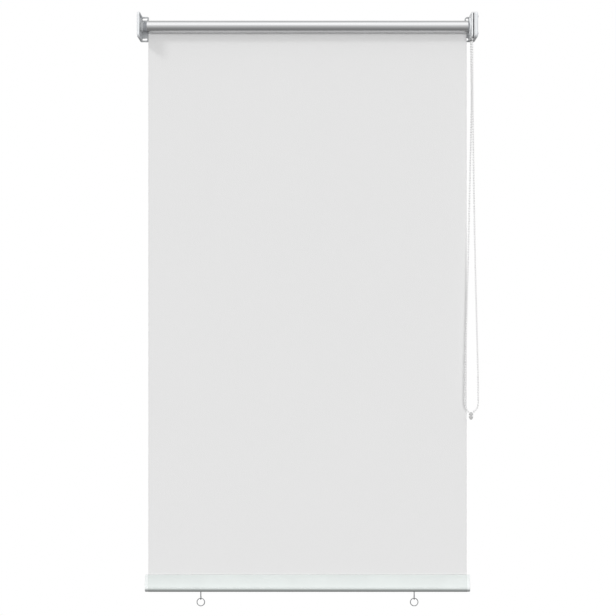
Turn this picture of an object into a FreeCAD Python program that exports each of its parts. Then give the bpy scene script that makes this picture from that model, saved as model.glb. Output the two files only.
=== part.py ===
import FreeCAD, Part
import math
import os
from types import SimpleNamespace

import Sketcher

# Exterior roller blind, pulled all the way down.
# X runs along the roller, Y = 0 is the wall and the blind stands towards -Y, Z is up.
# The origin is the middle of the four wall fixing holes.

Vector = FreeCAD.Vector
NEAR = 0.01

# Driving dimensions in millimetres: name, value, meaning
SIZES = [
    ("blind_width", 800, "over the outer faces of the two brackets"),
    ("axis_depth", 35, "from the wall to the roller's axis"),
    ("plate_height", 60, "height of a bracket"),
    ("plate_depth", 70, "from the wall to a bracket's front edge"),
    ("plate_gauge", 2.5, "thickness of the bracket sheet"),
    ("rim_reach", 6, "how far a bracket's turned rim stands inwards, gauge included"),
    ("plate_corner", 8, "outer corner radius of a bracket"),
    ("bend_radius", 1, "inside radius of a bend in the sheet"),
    ("flange_left", 21, "width of the left wall flange"),
    ("flange_right", 24.5, "width of the right wall flange"),
    ("slot_inset", 11.5, "from the bracket's outer face to a slot's middle"),
    ("slot_length", 12, "length of a wall slot"),
    ("slot_width", 5, "width of a wall slot"),
    ("slot_spacing", 48, "between the two slots of the left bracket"),
    ("eyelet_inset", 18.5, "from the bracket's outer face to a round wall hole"),
    ("eyelet_hole", 6, "diameter of a round wall hole"),
    ("eyelet_spacing", 47, "between the two holes of the right bracket"),
    ("eyelet_corner", 7, "corner radius of the right wall flange"),
    ("tube_outer", 28, "roller tube's diameter"),
    ("tube_wall", 1.2, "roller tube's wall"),
    ("tube_inset", 21, "from a bracket's outer face to the tube's end"),
    ("key_angle", 60, "where the tube's keyway lies, up from the back"),
    ("key_bore", 2.6, "diameter of the keyway's round channel"),
    ("key_wall", 0.8, "wall round the keyway"),
    ("key_mouth", 1, "width of the keyway's mouth"),
    ("key_clear", 0.15, "gap between the keyway and what fits round or in it"),
    ("fabric_inset", 1, "from the tube's end to the cloth's edge"),
    ("fabric_gauge", 0.4, "thickness of the cloth"),
    ("fabric_drop", 1299, "from the roller's axis to the top of the bottom rail"),
    ("fit_gap", 0.05, "running and sliding fit, on the radius"),
    ("press_gap", 0.02, "gap round a pushed-in plug, on the radius"),
    ("hub_radius", 11, "idle hub's radius"),
    ("hub_length", 10, "idle hub's length"),
    ("hub_round", 1.1, "rounding of the idle hub's outer edge"),
    ("side_gap", 0.3, "end play beside the idle hub"),
    ("collar_flange", 2, "flange of an end plug that covers the tube's edge"),
    ("collar_bevel", 0.5, "bevel round that flange"),
    ("idle_plug_depth", 30, "how far the idle plug reaches into the tube"),
    ("pin_radius", 3, "idle pin's radius"),
    ("pin_reach", 9, "how deep the idle pin stands in its hub"),
    ("pin_bevel", 0.75, "bevel on the idle pin's tip"),
    ("pin_collar_radius", 4, "collar on the idle pin"),
    ("pin_collar_length", 2, "length of that collar"),
    ("pin_tail_radius", 2, "idle pin's tail, inside the spring"),
    ("pin_tail_length", 22, "length of that tail"),
    ("pin_front_wall", 7.5, "plug's wall in front of the pin's collar"),
    ("pin_room_radius", 4.4, "room for the spring in the plug"),
    ("pin_room_length", 26.5, "length of that room"),
    ("pin_spring_wire", 0.8, "idle spring's wire"),
    ("pin_spring_turns", 6, "turns of the idle spring"),
    ("rivet_radius", 1.6, "rivets that hold the idle hub"),
    ("rivet_head_radius", 2.9, "their heads"),
    ("rivet_head_height", 1.2, "height of their heads"),
    ("rivet_round", 0.9, "rounding of their heads"),
    ("rivet_grip", 5, "how deep they stand in the hub"),
    ("rivet_circle", 7.2, "from the axis to a rivet"),
    ("drive_plug_depth", 44, "how far the drive plug reaches into the tube"),
    ("drive_web_start", 29, "from the tube's end to the drive plug's bearing wall"),
    ("drive_web", 6, "thickness of the bearing wall"),
    ("core_radius", 6, "clutch core's shaft"),
    ("core_bevel", 0.75, "bevel on the clutch core's tip"),
    ("core_boss_radius", 8, "shoulder of the clutch core"),
    ("core_square", 9, "square tenon that stops the core turning"),
    ("clip_gauge", 0.9, "thickness of the retaining clip"),
    ("clip_radius", 8.5, "outer radius of the retaining clip"),
    ("clip_depth", 1, "depth of the clip's groove"),
    ("clip_mouth", 7.5, "width of the clip's open side"),
    ("clip_tip", 1.6, "from the shaft's tip to the clip"),
    ("wheel_inset", 11.5, "from the right bracket's outer face to the chain wheel's plane"),
    ("wheel_width", 8, "chain wheel over its flanges"),
    ("wheel_flange_radius", 17, "chain wheel's flanges"),
    ("wheel_rim_radius", 15, "chain wheel's rim between the flanges"),
    ("wheel_rim_width", 5.2, "width of that rim"),
    ("wheel_bevel", 0.7, "lead-in on the inside of each flange"),
    ("cord_groove_width", 2, "groove for the cord between the beads"),
    ("cord_groove_depth", 0.9, "depth of that groove"),
    ("sleeve_radius", 9, "driver sleeve's outer radius"),
    ("sleeve_gap", 0.15, "gap between the sleeve and the drive plug"),
    ("sleeve_bearing", 14.5, "part of the sleeve that bears on the core"),
    ("sleeve_room_radius", 7.6, "room for the clutch springs in the sleeve"),
    ("sleeve_slot", 6, "slot for the springs' ends"),
    ("drive_key_width", 4, "keys on the sleeve that turn the drive plug"),
    ("drive_key_height", 0.8, "height of those keys"),
    ("drive_key_length", 22, "length of those keys"),
    ("clutch_wire", 1.1, "square wire of the clutch springs"),
    ("clutch_pitch", 1.6, "pitch of the clutch springs"),
    ("clutch_turns", 4, "turns of a clutch spring"),
    ("clutch_tang", 1.6, "how far a spring's ends stand out of its coil"),
    ("bead_pitch", 6, "from bead to bead"),
    ("bead_diameter", 4.5, "diameter of a bead"),
    ("cord_diameter", 1.4, "cord between the beads"),
    ("strand_start", 8, "from the axis down to where the free strands begin"),
    ("bead_clear", 0.25, "gap between a bead and its pocket"),
    ("pocket_floor", 1.7, "radius of a bead pocket's flat floor"),
    ("guard_inner_inset", 18.2, "from the bracket's outer face to the guard's inner face"),
    ("guard_edge_gap", 0.5, "gap between the guard and the bracket's rim"),
    ("guard_corner", 6, "corner radius of the chain guard"),
    ("guard_plate_inset", 15, "from the bracket's outer face to the guard plate's inner face"),
    ("guard_drum_radius", 20, "round drum on the guard's inner face"),
    ("guard_round", 1.2, "rounding of the guard's inner edges"),
    ("guard_room_gap", 1.3, "gap round the chain wheel's flanges"),
    ("guard_side_gap", 0.3, "gap beside the chain wheel"),
    ("guard_groove_width", 2.5, "groove round the guard's joint"),
    ("guard_groove_depth", 3.5, "depth of that groove"),
    ("mouth_gap", 0.4, "gap between the chain and its mouth in the guard"),
    ("guard_screw_radius", 1.5, "screws through bracket and guard"),
    ("guard_screw_head", 2.9, "radius of their heads"),
    ("guard_screw_height", 1.5, "height of their heads"),
    ("guard_screw_round", 0.75, "rounding of their heads"),
    ("guard_screw_length", 13.5, "length under the head"),
    ("guard_screw_inset", 9, "from the wall or the bracket's front edge to a guard screw"),
    ("guard_screw_drop", 10, "from the bracket's top or bottom edge to a guard screw"),
    ("core_screw_radius", 2.5, "screw that holds the clutch core"),
    ("core_screw_head", 4.6, "radius of its head"),
    ("core_screw_height", 1.9, "height of its head"),
    ("core_screw_round", 0.95, "rounding of its head"),
    ("core_screw_length", 16, "length under the head"),
    ("washer_radius", 7.5, "washer under that screw"),
    ("washer_gauge", 1, "thickness of that washer"),
    ("hole_clear", 0.2, "gap round a screw or rivet, on the radius"),
    ("tip_gap", 0.5, "space beyond the tip of a screw, pin or rivet"),
    ("link_width", 9.4, "chain connector's width"),
    ("link_depth", 7, "chain connector's depth"),
    ("link_round", 0.9, "rounding of the connector's edges"),
    ("link_inset", 13, "from the bracket's outer face to the connector's middle"),
    ("link_entry", 2.9, "from the connector's middle to each chain end"),
    ("link_top", 911.9, "connector's ridge, below the axis"),
    ("link_bend", 3.5, "from that ridge up to the last bend of each strand"),
    ("link_eave", 4.7, "height of the connector's two slopes"),
    ("link_upper", 3.6, "straight part of the upper half"),
    ("link_groove", 0.6, "gap between the halves"),
    ("link_lower", 8.6, "length of the lower half"),
    ("link_neck", 2.2, "part of it that is as wide as the upper half"),
    ("link_tip", 5.6, "width at the lower half's tip"),
    ("link_stem", 1.4, "radius of the stem that snaps into the upper half"),
    ("link_stem_height", 3, "height of that stem above the gap"),
    ("rail_over", 1, "how far the bottom rail's profile stands out past the cloth"),
    ("rail_height", 40, "height of the bottom rail"),
    ("rail_nose", 7.5, "radius of the rail's rounded lower edge"),
    ("rail_shoulder", 28, "from the rail's top to where its sides stand upright"),
    ("rail_lip", 2.4, "half the rail's thickness at its top"),
    ("rail_wall", 1.3, "rail's wall"),
    ("rail_web", 15, "from the rail's top to its hollow"),
    ("rail_key_depth", 8.5, "from the rail's top to the middle of the cloth channel"),
    ("rail_key_radius", 2.6, "radius of the cloth channel"),
    ("rail_mouth", 0.6, "half the width of the channel's mouth"),
    ("cap_length", 7, "how far a rail cap stands out"),
    ("cap_plug", 12, "how far its plug reaches in"),
    ("cap_gap", 0.1, "gap round that plug"),
    ("cap_round", 1.8, "rounding of the cap's outer edge"),
    ("rod_radius", 1.6, "rod in the hem"),
    ("eye_inset", 125.5, "from the rail profile's end to an eye screw"),
    ("eye_drop", 15, "from the rail's underside to the eye's middle"),
    ("eye_radius", 3.5, "mean radius of the eye"),
    ("eye_wire", 1.25, "radius of the eye's wire"),
    ("shank_radius", 1.2, "radius of the eye's shank"),
    ("shank_inside", 5.2, "how far the shank stands inside the rail"),
    ("nut_across", 5.5, "nut across its flats"),
    ("nut_height", 2.2, "height of the nut"),
    ("ring_radius", 9, "mean radius of the ring"),
    ("ring_wire", 1, "radius of the ring's wire"),
]
BEADS_ROUND = 16
SPRING_SIDES = 16


class Size:
    """A length or an angle: its number, and the sheet expression that it comes from."""

    def __init__(self, value, text):
        self.value = float(value)
        self.text = text

    def joined(self, other, sign, value):
        return Size(value, f"({self.text} {sign} {as_size(other).text})")

    def __add__(self, other):
        return self.joined(other, "+", self.value + as_size(other).value)

    def __sub__(self, other):
        return self.joined(other, "-", self.value - as_size(other).value)

    def __mul__(self, other):
        return self.joined(other, "*", self.value * as_size(other).value)

    def __truediv__(self, other):
        return self.joined(other, "/", self.value / as_size(other).value)

    def __radd__(self, other):
        return as_size(other) + self

    def __rsub__(self, other):
        return as_size(other) - self

    def __rmul__(self, other):
        return as_size(other) * self

    def __neg__(self):
        return 0 - self


def as_size(x):
    return x if isinstance(x, Size) else Size(x, f"{x:g}")


def root(x):
    return Size(math.sqrt(x.value), f"sqrt({x.text})")


def sine(x):
    return Size(math.sin(math.radians(x.value)), f"sin({x.text})")


def cosine(x):
    return Size(math.cos(math.radians(x.value)), f"cos({x.text})")


doc = FreeCAD.newDocument("RollerBlind")
sheet = doc.addObject("Spreadsheet::Sheet", "Sizes")
for row, (alias, number, meaning) in enumerate(SIZES, 1):
    sheet.set(f"A{row}", meaning)
    sheet.set(f"B{row}", f"{number:g}")
    sheet.setAlias(f"B{row}", alias)
doc.recompute()
s = SimpleNamespace(**{alias: Size(sheet.get(alias), f"Sizes.{alias}") for alias, _, _ in SIZES})

# Derived places, all from the sheet
half_width = s.blind_width / 2
half_tube = half_width - s.tube_inset
half_cloth = half_tube - s.fabric_inset
half_rail = half_cloth + s.rail_over
tube_length = 2 * half_tube
fabric_width = 2 * half_cloth
rail_length = 2 * half_rail
wheel_plane = half_width - s.wheel_inset
guard_inner_face = half_width - s.guard_inner_inset
guard_plate_face = half_width - s.guard_plate_inset
link_x = half_width - s.link_inset
eye_spread = half_rail - s.eye_inset
tube_radius = s.tube_outer / 2
tube_inside = tube_radius - s.tube_wall
plate_inside = half_width - s.plate_gauge
cloth_y = tube_radius + s.fabric_gauge / 2 - s.axis_depth
bead_radius = s.bead_diameter / 2
pitch_radius = s.bead_pitch / (2 * sine(as_size(180) / BEADS_ROUND))


def placed(made, label, x, y, z):
    made.Label = label
    for axis, where in (("x", x), ("y", y), ("z", z)):
        made.setExpression(f"Placement.Base.{axis}", as_size(where).text)
    return made


def body(label, x=0, y=0, z=0):
    return placed(doc.addObject("PartDesign::Body", label), label, x, y, z)


def on_axis(label, x=0):
    return body(label, x=x, y=-s.axis_depth)


def sketch(owner, name, role, offset=None):
    plane = next(f for f in owner.Origin.OriginFeatures if f.Role == role)
    made = owner.newObject("Sketcher::SketchObject", name)
    made.AttachmentSupport = [(plane, "")]
    made.MapMode = "FlatFace"
    if offset is not None:
        made.setExpression("AttachmentOffset.Base.z", offset.text)
    return made


def pin_point(made, geometry, position, u, v):
    for kind, where, axis in (("DistanceX", u, -2), ("DistanceY", v, -1)):
        where = as_size(where)
        if where.text == "0":
            made.addConstraint(Sketcher.Constraint("PointOnObject", geometry, position, axis))
        else:
            number = made.addConstraint(
                Sketcher.Constraint(kind, -1, 1, geometry, position, where.value)
            )
            made.setExpression(f"Constraints[{number}]", where.text)


def flat(u, v):
    return Vector(as_size(u).value, as_size(v).value, 0)


def outline(made, points):
    """A closed outline of straight lines, each corner placed by the sheet."""
    first = made.GeometryCount
    count = len(points)
    for i, point in enumerate(points):
        made.addGeometry(Part.LineSegment(flat(*point), flat(*points[(i + 1) % count])), False)
    for i in range(count):
        following = first + (i + 1) % count
        made.addConstraint(Sketcher.Constraint("Coincident", first + i, 2, following, 1))
    for i, point in enumerate(points):
        pin_point(made, first + i, 1, *point)


def box_outline(made, u0, v0, u1, v1):
    outline(made, [(u0, v0), (u1, v0), (u1, v1), (u0, v1)])


def circle(made, u, v, radius):
    number = made.addGeometry(Part.Circle(flat(u, v), Vector(0, 0, 1), radius.value), False)
    pin_point(made, number, 3, u, v)
    bound = made.addConstraint(Sketcher.Constraint("Radius", number, radius.value))
    made.setExpression(f"Constraints[{bound}]", radius.text)
    return number


def slot(made, u, v, length, width):
    """A slot with round ends that runs along the sketch's first axis."""
    radius = width / 2
    run = length / 2 - radius
    left = as_size(u) - run
    right = as_size(u) + run
    quarter = math.pi / 2
    ends = []
    for middle, start in ((right, -quarter), (left, quarter)):
        round_end = Part.Circle(flat(middle, v), Vector(0, 0, 1), radius.value)
        arc = Part.ArcOfCircle(round_end, start, start + math.pi)
        ends.append(made.addGeometry(arc, False))
    top = made.addGeometry(Part.LineSegment(flat(right, v + radius), flat(left, v + radius)), False)
    low = made.addGeometry(Part.LineSegment(flat(left, v - radius), flat(right, v - radius)), False)
    for a, a_end, b, b_end in (
        (ends[0], 2, top, 1), (top, 2, ends[1], 1), (ends[1], 2, low, 1), (low, 2, ends[0], 1),
    ):
        made.addConstraint(Sketcher.Constraint("Tangent", a, a_end, b, b_end))
    made.addConstraint(Sketcher.Constraint("Equal", ends[0], ends[1]))
    pin_point(made, ends[0], 3, right, v)
    pin_point(made, ends[1], 3, left, v)
    bound = made.addConstraint(Sketcher.Constraint("Radius", ends[0], radius.value))
    made.setExpression(f"Constraints[{bound}]", radius.text)


def feature(owner, kind, name, profile, length=None, away=False, middle=False):
    made = owner.newObject(f"PartDesign::{kind}", name)
    made.Profile = profile
    if length is not None:
        made.setExpression("Length", length.text)
    made.Reversed = away
    if middle:
        made.Midplane = True
    doc.recompute()
    return made


def pad(owner, name, profile, length, away=False, middle=False):
    return feature(owner, "Pad", name, profile, length, away, middle)


def pocket(owner, name, profile, length, away=False, middle=False):
    before = owner.Shape.Volume
    made = feature(owner, "Pocket", name, profile, length, away, middle)
    if not owner.Shape.Volume < before - NEAR:
        raise RuntimeError(f"{owner.Label}: {name} cuts nothing")
    return made


def spun(owner, name, profile, axis="H_Axis", cut=False):
    """The profile turned once round one of its own axes, added or cut away."""
    made = owner.newObject("PartDesign::Groove" if cut else "PartDesign::Revolution", name)
    made.Profile = profile
    made.ReferenceAxis = (profile, [axis])
    made.Angle = 360
    doc.recompute()
    return made


def turned(owner, name, points):
    """A turned solid: points are (along, radius) in the body's XZ plane."""
    profile = sketch(owner, f"{name}_profile", "XZ_Plane")
    outline(profile, points)
    return spun(owner, name, profile)


def picked(shape, places):
    """Names of the edges that lie in every plane of one of the places, or have its radius."""
    names = []
    for number, edge in enumerate(shape.Edges, 1):
        box = edge.BoundBox
        spans = {"x": (box.XMin, box.XMax), "y": (box.YMin, box.YMax), "z": (box.ZMin, box.ZMax)}
        for place in places:
            fits = True
            for key, where in place.items():
                where = as_size(where).value
                if key == "r":
                    round_edge = isinstance(edge.Curve, Part.Circle)
                    fits = fits and round_edge and abs(edge.Curve.Radius - where) < NEAR
                else:
                    fits = fits and max(abs(v - where) for v in spans[key]) < NEAR
            if fits:
                names.append(f"Edge{number}")
                break
    return names


def eased(owner, kind, name, amount, *places):
    """A fillet or chamfer on the edges at these places."""
    base = owner.Tip
    names = picked(base.Shape, places)
    if not names:
        raise RuntimeError(f"{owner.Label}: {name} finds no edge")
    made = owner.newObject(f"PartDesign::{kind}", name)
    made.Base = (base, names)
    made.setExpression("Size" if kind == "Chamfer" else "Radius", as_size(amount).text)
    doc.recompute()
    return made


def round_off(owner, name, radius, *places):
    return eased(owner, "Fillet", name, radius, *places)


def bevel(owner, name, width, *places):
    return eased(owner, "Chamfer", name, width, *places)


def solid(label, shape, x=0, y=0, z=0):
    """A swept or wound shape that no body feature makes, placed by the sheet."""
    made = doc.addObject("Part::Feature", label)
    made.Shape = shape
    return placed(made, label, x, y, z)


# Brackets


def bracket(label, side, flange, end_radius):
    """One bent bracket: a side plate with a turned rim and a flange on the wall."""
    made = body(label)
    outer = side * half_width
    half = s.plate_height / 2
    block = sketch(made, "side_outline", "YZ_Plane", outer)
    box_outline(block, 0, -half, -s.plate_depth, half)
    pad(made, "side_block", block, s.rim_reach, away=side > 0)
    round_off(
        made, "front_corners", s.plate_corner,
        {"y": -s.plate_depth, "z": half}, {"y": -s.plate_depth, "z": -half},
    )
    dish = sketch(made, "dish_outline", "YZ_Plane", side * plate_inside)
    inner = half - s.plate_gauge
    front = s.plate_gauge - s.plate_depth
    box_outline(dish, s.plate_gauge, -inner, front, inner)
    pocket(made, "dish", dish, s.rim_reach, away=side < 0)
    round_off(
        made, "dish_corners", s.plate_corner - s.plate_gauge,
        {"y": front, "z": inner}, {"y": front, "z": -inner},
    )
    wall = sketch(made, "flange_outline", "XZ_Plane")
    box_outline(wall, outer, -half, side * (half_width - flange), half)
    pad(made, "wall_flange", wall, s.plate_gauge)
    end = side * (half_width - flange)
    round_off(made, "flange_corners", end_radius, {"x": end, "z": half}, {"x": end, "z": -half})
    round_off(made, "bends_outside", s.bend_radius + s.plate_gauge, {"x": outer})
    round_off(made, "bend_inside", s.bend_radius, {"x": side * plate_inside, "y": -s.plate_gauge})
    return made


left_bracket = bracket("left_bracket", -1, s.flange_left, s.plate_gauge)
slots = sketch(left_bracket, "slot_outline", "XZ_Plane")
for up in (-1, 1):
    slot(slots, s.slot_inset - half_width, up * s.slot_spacing / 2, s.slot_length, s.slot_width)
pocket(left_bracket, "wall_slots", slots, s.plate_gauge, away=True)
hub_holes = sketch(left_bracket, "hub_hole_outline", "YZ_Plane", -half_width)
circle(hub_holes, -s.axis_depth, 0, s.pin_radius + s.fit_gap)
for up in (-1, 1):
    circle(hub_holes, -s.axis_depth, up * s.rivet_circle, s.rivet_radius + s.hole_clear)
pocket(left_bracket, "hub_holes", hub_holes, s.plate_gauge, away=True)

right_bracket = bracket("right_bracket", 1, s.flange_right, s.eyelet_corner)
eyelets = sketch(right_bracket, "eyelet_outline", "XZ_Plane")
for up in (-1, 1):
    circle(eyelets, half_width - s.eyelet_inset, up * s.eyelet_spacing / 2, s.eyelet_hole / 2)
pocket(right_bracket, "wall_holes", eyelets, s.plate_gauge, away=True)
drive_holes = sketch(right_bracket, "drive_hole_outline", "YZ_Plane", half_width)
tenon = s.core_square / 2
tenon_hole = tenon + s.press_gap
box_outline(
    drive_holes, -s.axis_depth - tenon_hole, -tenon_hole, tenon_hole - s.axis_depth, tenon_hole
)
guard_screw_places = [
    (y, up * (s.plate_height / 2 - s.guard_screw_drop))
    for y in (s.guard_screw_inset - s.plate_depth, -s.guard_screw_inset)
    for up in (-1, 1)
]
for y, z in guard_screw_places:
    circle(drive_holes, y, z, s.guard_screw_radius + s.hole_clear)
pocket(right_bracket, "drive_holes", drive_holes, s.plate_gauge)

# Idle end: a hub riveted to the left bracket, and a sprung pin in the tube's plug

idle_hub = on_axis("idle_hub")
hub_face = -plate_inside
hub_end = s.hub_length - plate_inside
hub_bore = s.pin_radius + s.fit_gap
turned(idle_hub, "barrel", [
    (hub_face, hub_bore), (hub_end, hub_bore), (hub_end, s.hub_radius), (hub_face, s.hub_radius),
])
rivet_bores = sketch(idle_hub, "rivet_bores", "YZ_Plane", hub_face)
for up in (-1, 1):
    circle(rivet_bores, 0, up * s.rivet_circle, s.rivet_radius + s.hole_clear)
pocket(idle_hub, "rivet_bore_cut", rivet_bores, s.rivet_grip + s.tip_gap, away=True)
round_off(idle_hub, "hub_edge", s.hub_round, {"x": hub_end, "r": s.hub_radius})


def headed_pin(label, x, y, z, towards, shank, length, head, height, round_head):
    """A rivet or screw whose head lies at x and whose shank points along X."""
    made = body(label, x=x, y=y, z=z)
    turned(made, "shape", [
        (-towards * height, 0), (-towards * height, head), (0, head), (0, shank),
        (towards * length, shank), (towards * length, 0),
    ])
    round_off(made, "head_edge", round_head, {"x": -towards * height, "r": head})
    return made


rivet_group = [
    headed_pin(
        f"idle_hub_rivet_{number}", -half_width, -s.axis_depth, up * s.rivet_circle, 1,
        s.rivet_radius, s.plate_gauge + s.rivet_grip,
        s.rivet_head_radius, s.rivet_head_height, s.rivet_round,
    )
    for number, up in enumerate((-1, 1), 1)
]

plug_start = hub_end + s.side_gap
room_start = plug_start + s.pin_front_wall
room_end = room_start + s.pin_room_length
idle_plug_end = s.idle_plug_depth - half_tube
plug_radius = tube_inside - s.press_gap
key_middle = tube_radius - s.key_wall - s.key_bore / 2


def key_notch(owner, start, length):
    """The notch in a plug that the tube's keyway runs through and turns it by."""
    made = sketch(owner, "key_notch_outline", "YZ_Plane", start)
    circle(
        made, key_middle * cosine(s.key_angle), key_middle * sine(s.key_angle),
        s.key_bore / 2 + s.key_wall + s.key_clear,
    )
    pocket(owner, "key_notch", made, length, away=True)


idle_end_plug = on_axis("idle_end_plug")
tail_bore = s.pin_tail_radius + s.fit_gap
turned(idle_end_plug, "barrel", [
    (plug_start, hub_bore), (plug_start, s.hub_radius),
    (-half_tube - s.collar_flange, s.hub_radius), (-half_tube - s.collar_flange, tube_radius),
    (-half_tube, tube_radius), (-half_tube, plug_radius),
    (idle_plug_end, plug_radius), (idle_plug_end, tail_bore),
    (room_end, tail_bore), (room_end, s.pin_room_radius),
    (room_start, s.pin_room_radius), (room_start, hub_bore),
])
key_notch(idle_end_plug, -half_tube, s.idle_plug_depth)
bevel(idle_end_plug, "flange_edge", s.collar_bevel,
      {"x": -half_tube - s.collar_flange, "r": tube_radius})

idle_pin = on_axis("idle_pin")
pin_tip = hub_end - s.pin_reach
collar_start = room_start + s.fit_gap
collar_end = collar_start + s.pin_collar_length
turned(idle_pin, "shape", [
    (pin_tip, 0), (pin_tip, s.pin_radius), (collar_start, s.pin_radius),
    (collar_start, s.pin_collar_radius), (collar_end, s.pin_collar_radius),
    (collar_end, s.pin_tail_radius), (collar_end + s.pin_tail_length, s.pin_tail_radius),
    (collar_end + s.pin_tail_length, 0),
])
bevel(idle_pin, "tip_edge", s.pin_bevel, {"x": pin_tip, "r": s.pin_radius})


def coil(start, length, radius, turns, section):
    """A coil along X that begins at start, as a pipe along quarter-turn arcs."""
    def point(turn):
        angle = 2 * math.pi * turn
        along = start + length * turn / turns
        return Vector(along, radius * math.cos(angle), radius * math.sin(angle))

    steps = round(4 * turns)
    arcs = [
        Part.Arc(point(i / 4), point(i / 4 + 1 / 8), point(i / 4 + 1 / 4)).toShape()
        for i in range(steps)
    ]
    return Part.Wire(arcs).makePipeShell([section], True, False)


def round_wire(start, radius, diameter, sides=6):
    corners = []
    for i in range(sides + 1):
        angle = 2 * math.pi * i / sides
        along = start + diameter / 2 * math.cos(angle)
        corners.append(Vector(along, radius + diameter / 2 * math.sin(angle), 0))
    return Part.makePolygon(corners)


spring_wire = s.pin_spring_wire.value
spring_start = collar_end.value + spring_wire / 2 + s.fit_gap.value
spring_length = room_end.value - s.fit_gap.value - spring_wire / 2 - spring_start
spring_radius = (s.pin_tail_radius.value + s.pin_room_radius.value) / 2
solid("idle_pin_spring", coil(
    spring_start, spring_length, spring_radius, s.pin_spring_turns.value,
    round_wire(spring_start, spring_radius, spring_wire),
), y=-s.axis_depth)

# Roller tube with its keyway, the cloth's upper rod and the first wrap of cloth

roller_tube = on_axis("roller_tube")
ring = sketch(roller_tube, "tube_section", "YZ_Plane")
circle(ring, 0, 0, tube_radius)
circle(ring, 0, 0, tube_inside)
pad(roller_tube, "tube", ring, tube_length, middle=True)
key_y = key_middle * cosine(s.key_angle)
key_z = key_middle * sine(s.key_angle)
channel = sketch(roller_tube, "channel_section", "YZ_Plane")
circle(channel, key_y, key_z, s.key_bore / 2 + s.key_wall)
pad(roller_tube, "channel", channel, tube_length, middle=True)
channel_bore = sketch(roller_tube, "channel_bore", "YZ_Plane")
circle(channel_bore, key_y, key_z, s.key_bore / 2)
pocket(roller_tube, "channel_cut", channel_bore, tube_length, middle=True)
mouth = sketch(roller_tube, "mouth_section", "YZ_Plane")
half_mouth = s.key_mouth / 2


def from_axis(radius, sideways):
    """A point in the YZ plane on the keyway's radius, moved sideways from it."""
    across = as_size(sideways)
    return (
        radius * cosine(s.key_angle) + across * sine(s.key_angle),
        radius * sine(s.key_angle) - across * cosine(s.key_angle),
    )


outline(mouth, [
    from_axis(key_middle, -half_mouth), from_axis(key_middle, half_mouth),
    from_axis(tube_radius + s.key_wall, half_mouth), from_axis(tube_radius + s.key_wall, -half_mouth),
])
pocket(roller_tube, "mouth_cut", mouth, tube_length, middle=True)

rod_in_key = s.key_bore / 2 - s.fabric_gauge - s.key_clear
upper_rod = body("cloth_upper_rod", y=key_y - s.axis_depth, z=key_z)
rod_section = sketch(upper_rod, "rod_section", "YZ_Plane")
circle(rod_section, 0, 0, rod_in_key)
pad(upper_rod, "rod", rod_section, fabric_width, middle=True)


def cloth_wrap():
    """The cloth from the keyway's rod, out of its mouth and down the tube's back."""
    gauge = s.fabric_gauge.value
    width = fabric_width.value
    inner = tube_radius.value
    angle = math.radians(s.key_angle.value)
    arcs = []
    for radius in (inner, inner + gauge):
        points = [
            Vector(0, radius * math.cos(a), radius * math.sin(a)) for a in (0, angle / 2, angle)
        ]
        arcs.append(Part.Arc(*points).toShape())
    ends = [
        Part.LineSegment(arcs[0].Vertexes[i].Point, arcs[1].Vertexes[i].Point).toShape()
        for i in (0, 1)
    ]
    round_part = Part.Face(Part.Wire(Part.__sortEdges__([*arcs, *ends])))
    tail = [
        from_axis(key_middle + rod_in_key, 0), from_axis(tube_radius + s.fabric_gauge, 0),
        from_axis(tube_radius + s.fabric_gauge, s.fabric_gauge),
        from_axis(key_middle + rod_in_key, s.fabric_gauge),
    ]
    corners = [Vector(0, y.value, z.value) for y, z in tail]
    tail_part = Part.Face(Part.makePolygon([*corners, corners[0]]))
    along = Vector(width, 0, 0)
    return round_part.extrude(along).fuse(tail_part.extrude(along)).removeSplitter()


solid("fabric_wrap", cloth_wrap(), x=-fabric_width / 2, y=-s.axis_depth)

# Drive end: plug, fixed core with its clip, chain wheel with driver sleeve, clutch springs

drive_end_plug = on_axis("drive_end_plug")
web_in = half_tube - s.drive_web_start - s.drive_web
web_out = half_tube - s.drive_web_start
drive_start = half_tube - s.drive_plug_depth
drive_face = half_tube + s.collar_flange
drive_room = s.sleeve_radius + s.sleeve_gap
core_bore = s.core_radius + s.fit_gap
turned(drive_end_plug, "barrel", [
    (drive_start, drive_room), (drive_start, plug_radius), (half_tube, plug_radius),
    (half_tube, tube_radius), (drive_face, tube_radius), (drive_face, drive_room),
    (web_out, drive_room), (web_out, core_bore), (web_in, core_bore), (web_in, drive_room),
])


def drive_keys(made, radius, gap):
    """Two keys, front and back, that stand out from radius; gap widens them to keyways."""
    half = s.drive_key_width / 2 + gap
    top = s.sleeve_radius + s.drive_key_height + gap
    box_outline(made, radius, -half, top, half)
    box_outline(made, -top, -half, -radius, half)


keyways = sketch(drive_end_plug, "keyway_outline", "YZ_Plane", drive_face)
drive_keys(keyways, s.sleeve_radius - s.drive_key_height, s.sleeve_gap)
pocket(drive_end_plug, "keyways", keyways, drive_face - web_out)
key_notch(drive_end_plug, drive_start, s.drive_plug_depth)
bevel(drive_end_plug, "flange_edge", s.collar_bevel, {"x": drive_face, "r": tube_radius})

clutch_core = on_axis("clutch_core")
clip_end = web_in - s.side_gap
clip_start = clip_end - s.clip_gauge
core_tip = clip_start - s.clip_tip
wheel_outer = wheel_plane + s.wheel_width / 2
wheel_inner = wheel_plane - s.wheel_width / 2
boss_start = wheel_outer + s.guard_side_gap
clip_floor = s.core_radius - s.clip_depth
core_screw_bore = s.core_screw_radius + s.hole_clear
bore_end = half_width + s.washer_gauge - s.core_screw_length - s.tip_gap
turned(clutch_core, "shaft", [
    (core_tip, 0), (core_tip, s.core_radius), (clip_start, s.core_radius),
    (clip_start, clip_floor), (clip_end + s.fit_gap, clip_floor),
    (clip_end + s.fit_gap, s.core_radius), (boss_start, s.core_radius),
    (boss_start, s.core_boss_radius), (plate_inside, s.core_boss_radius), (plate_inside, 0),
])
square = sketch(clutch_core, "tenon_outline", "YZ_Plane", plate_inside)
box_outline(square, -tenon, -tenon, tenon, tenon)
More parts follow.
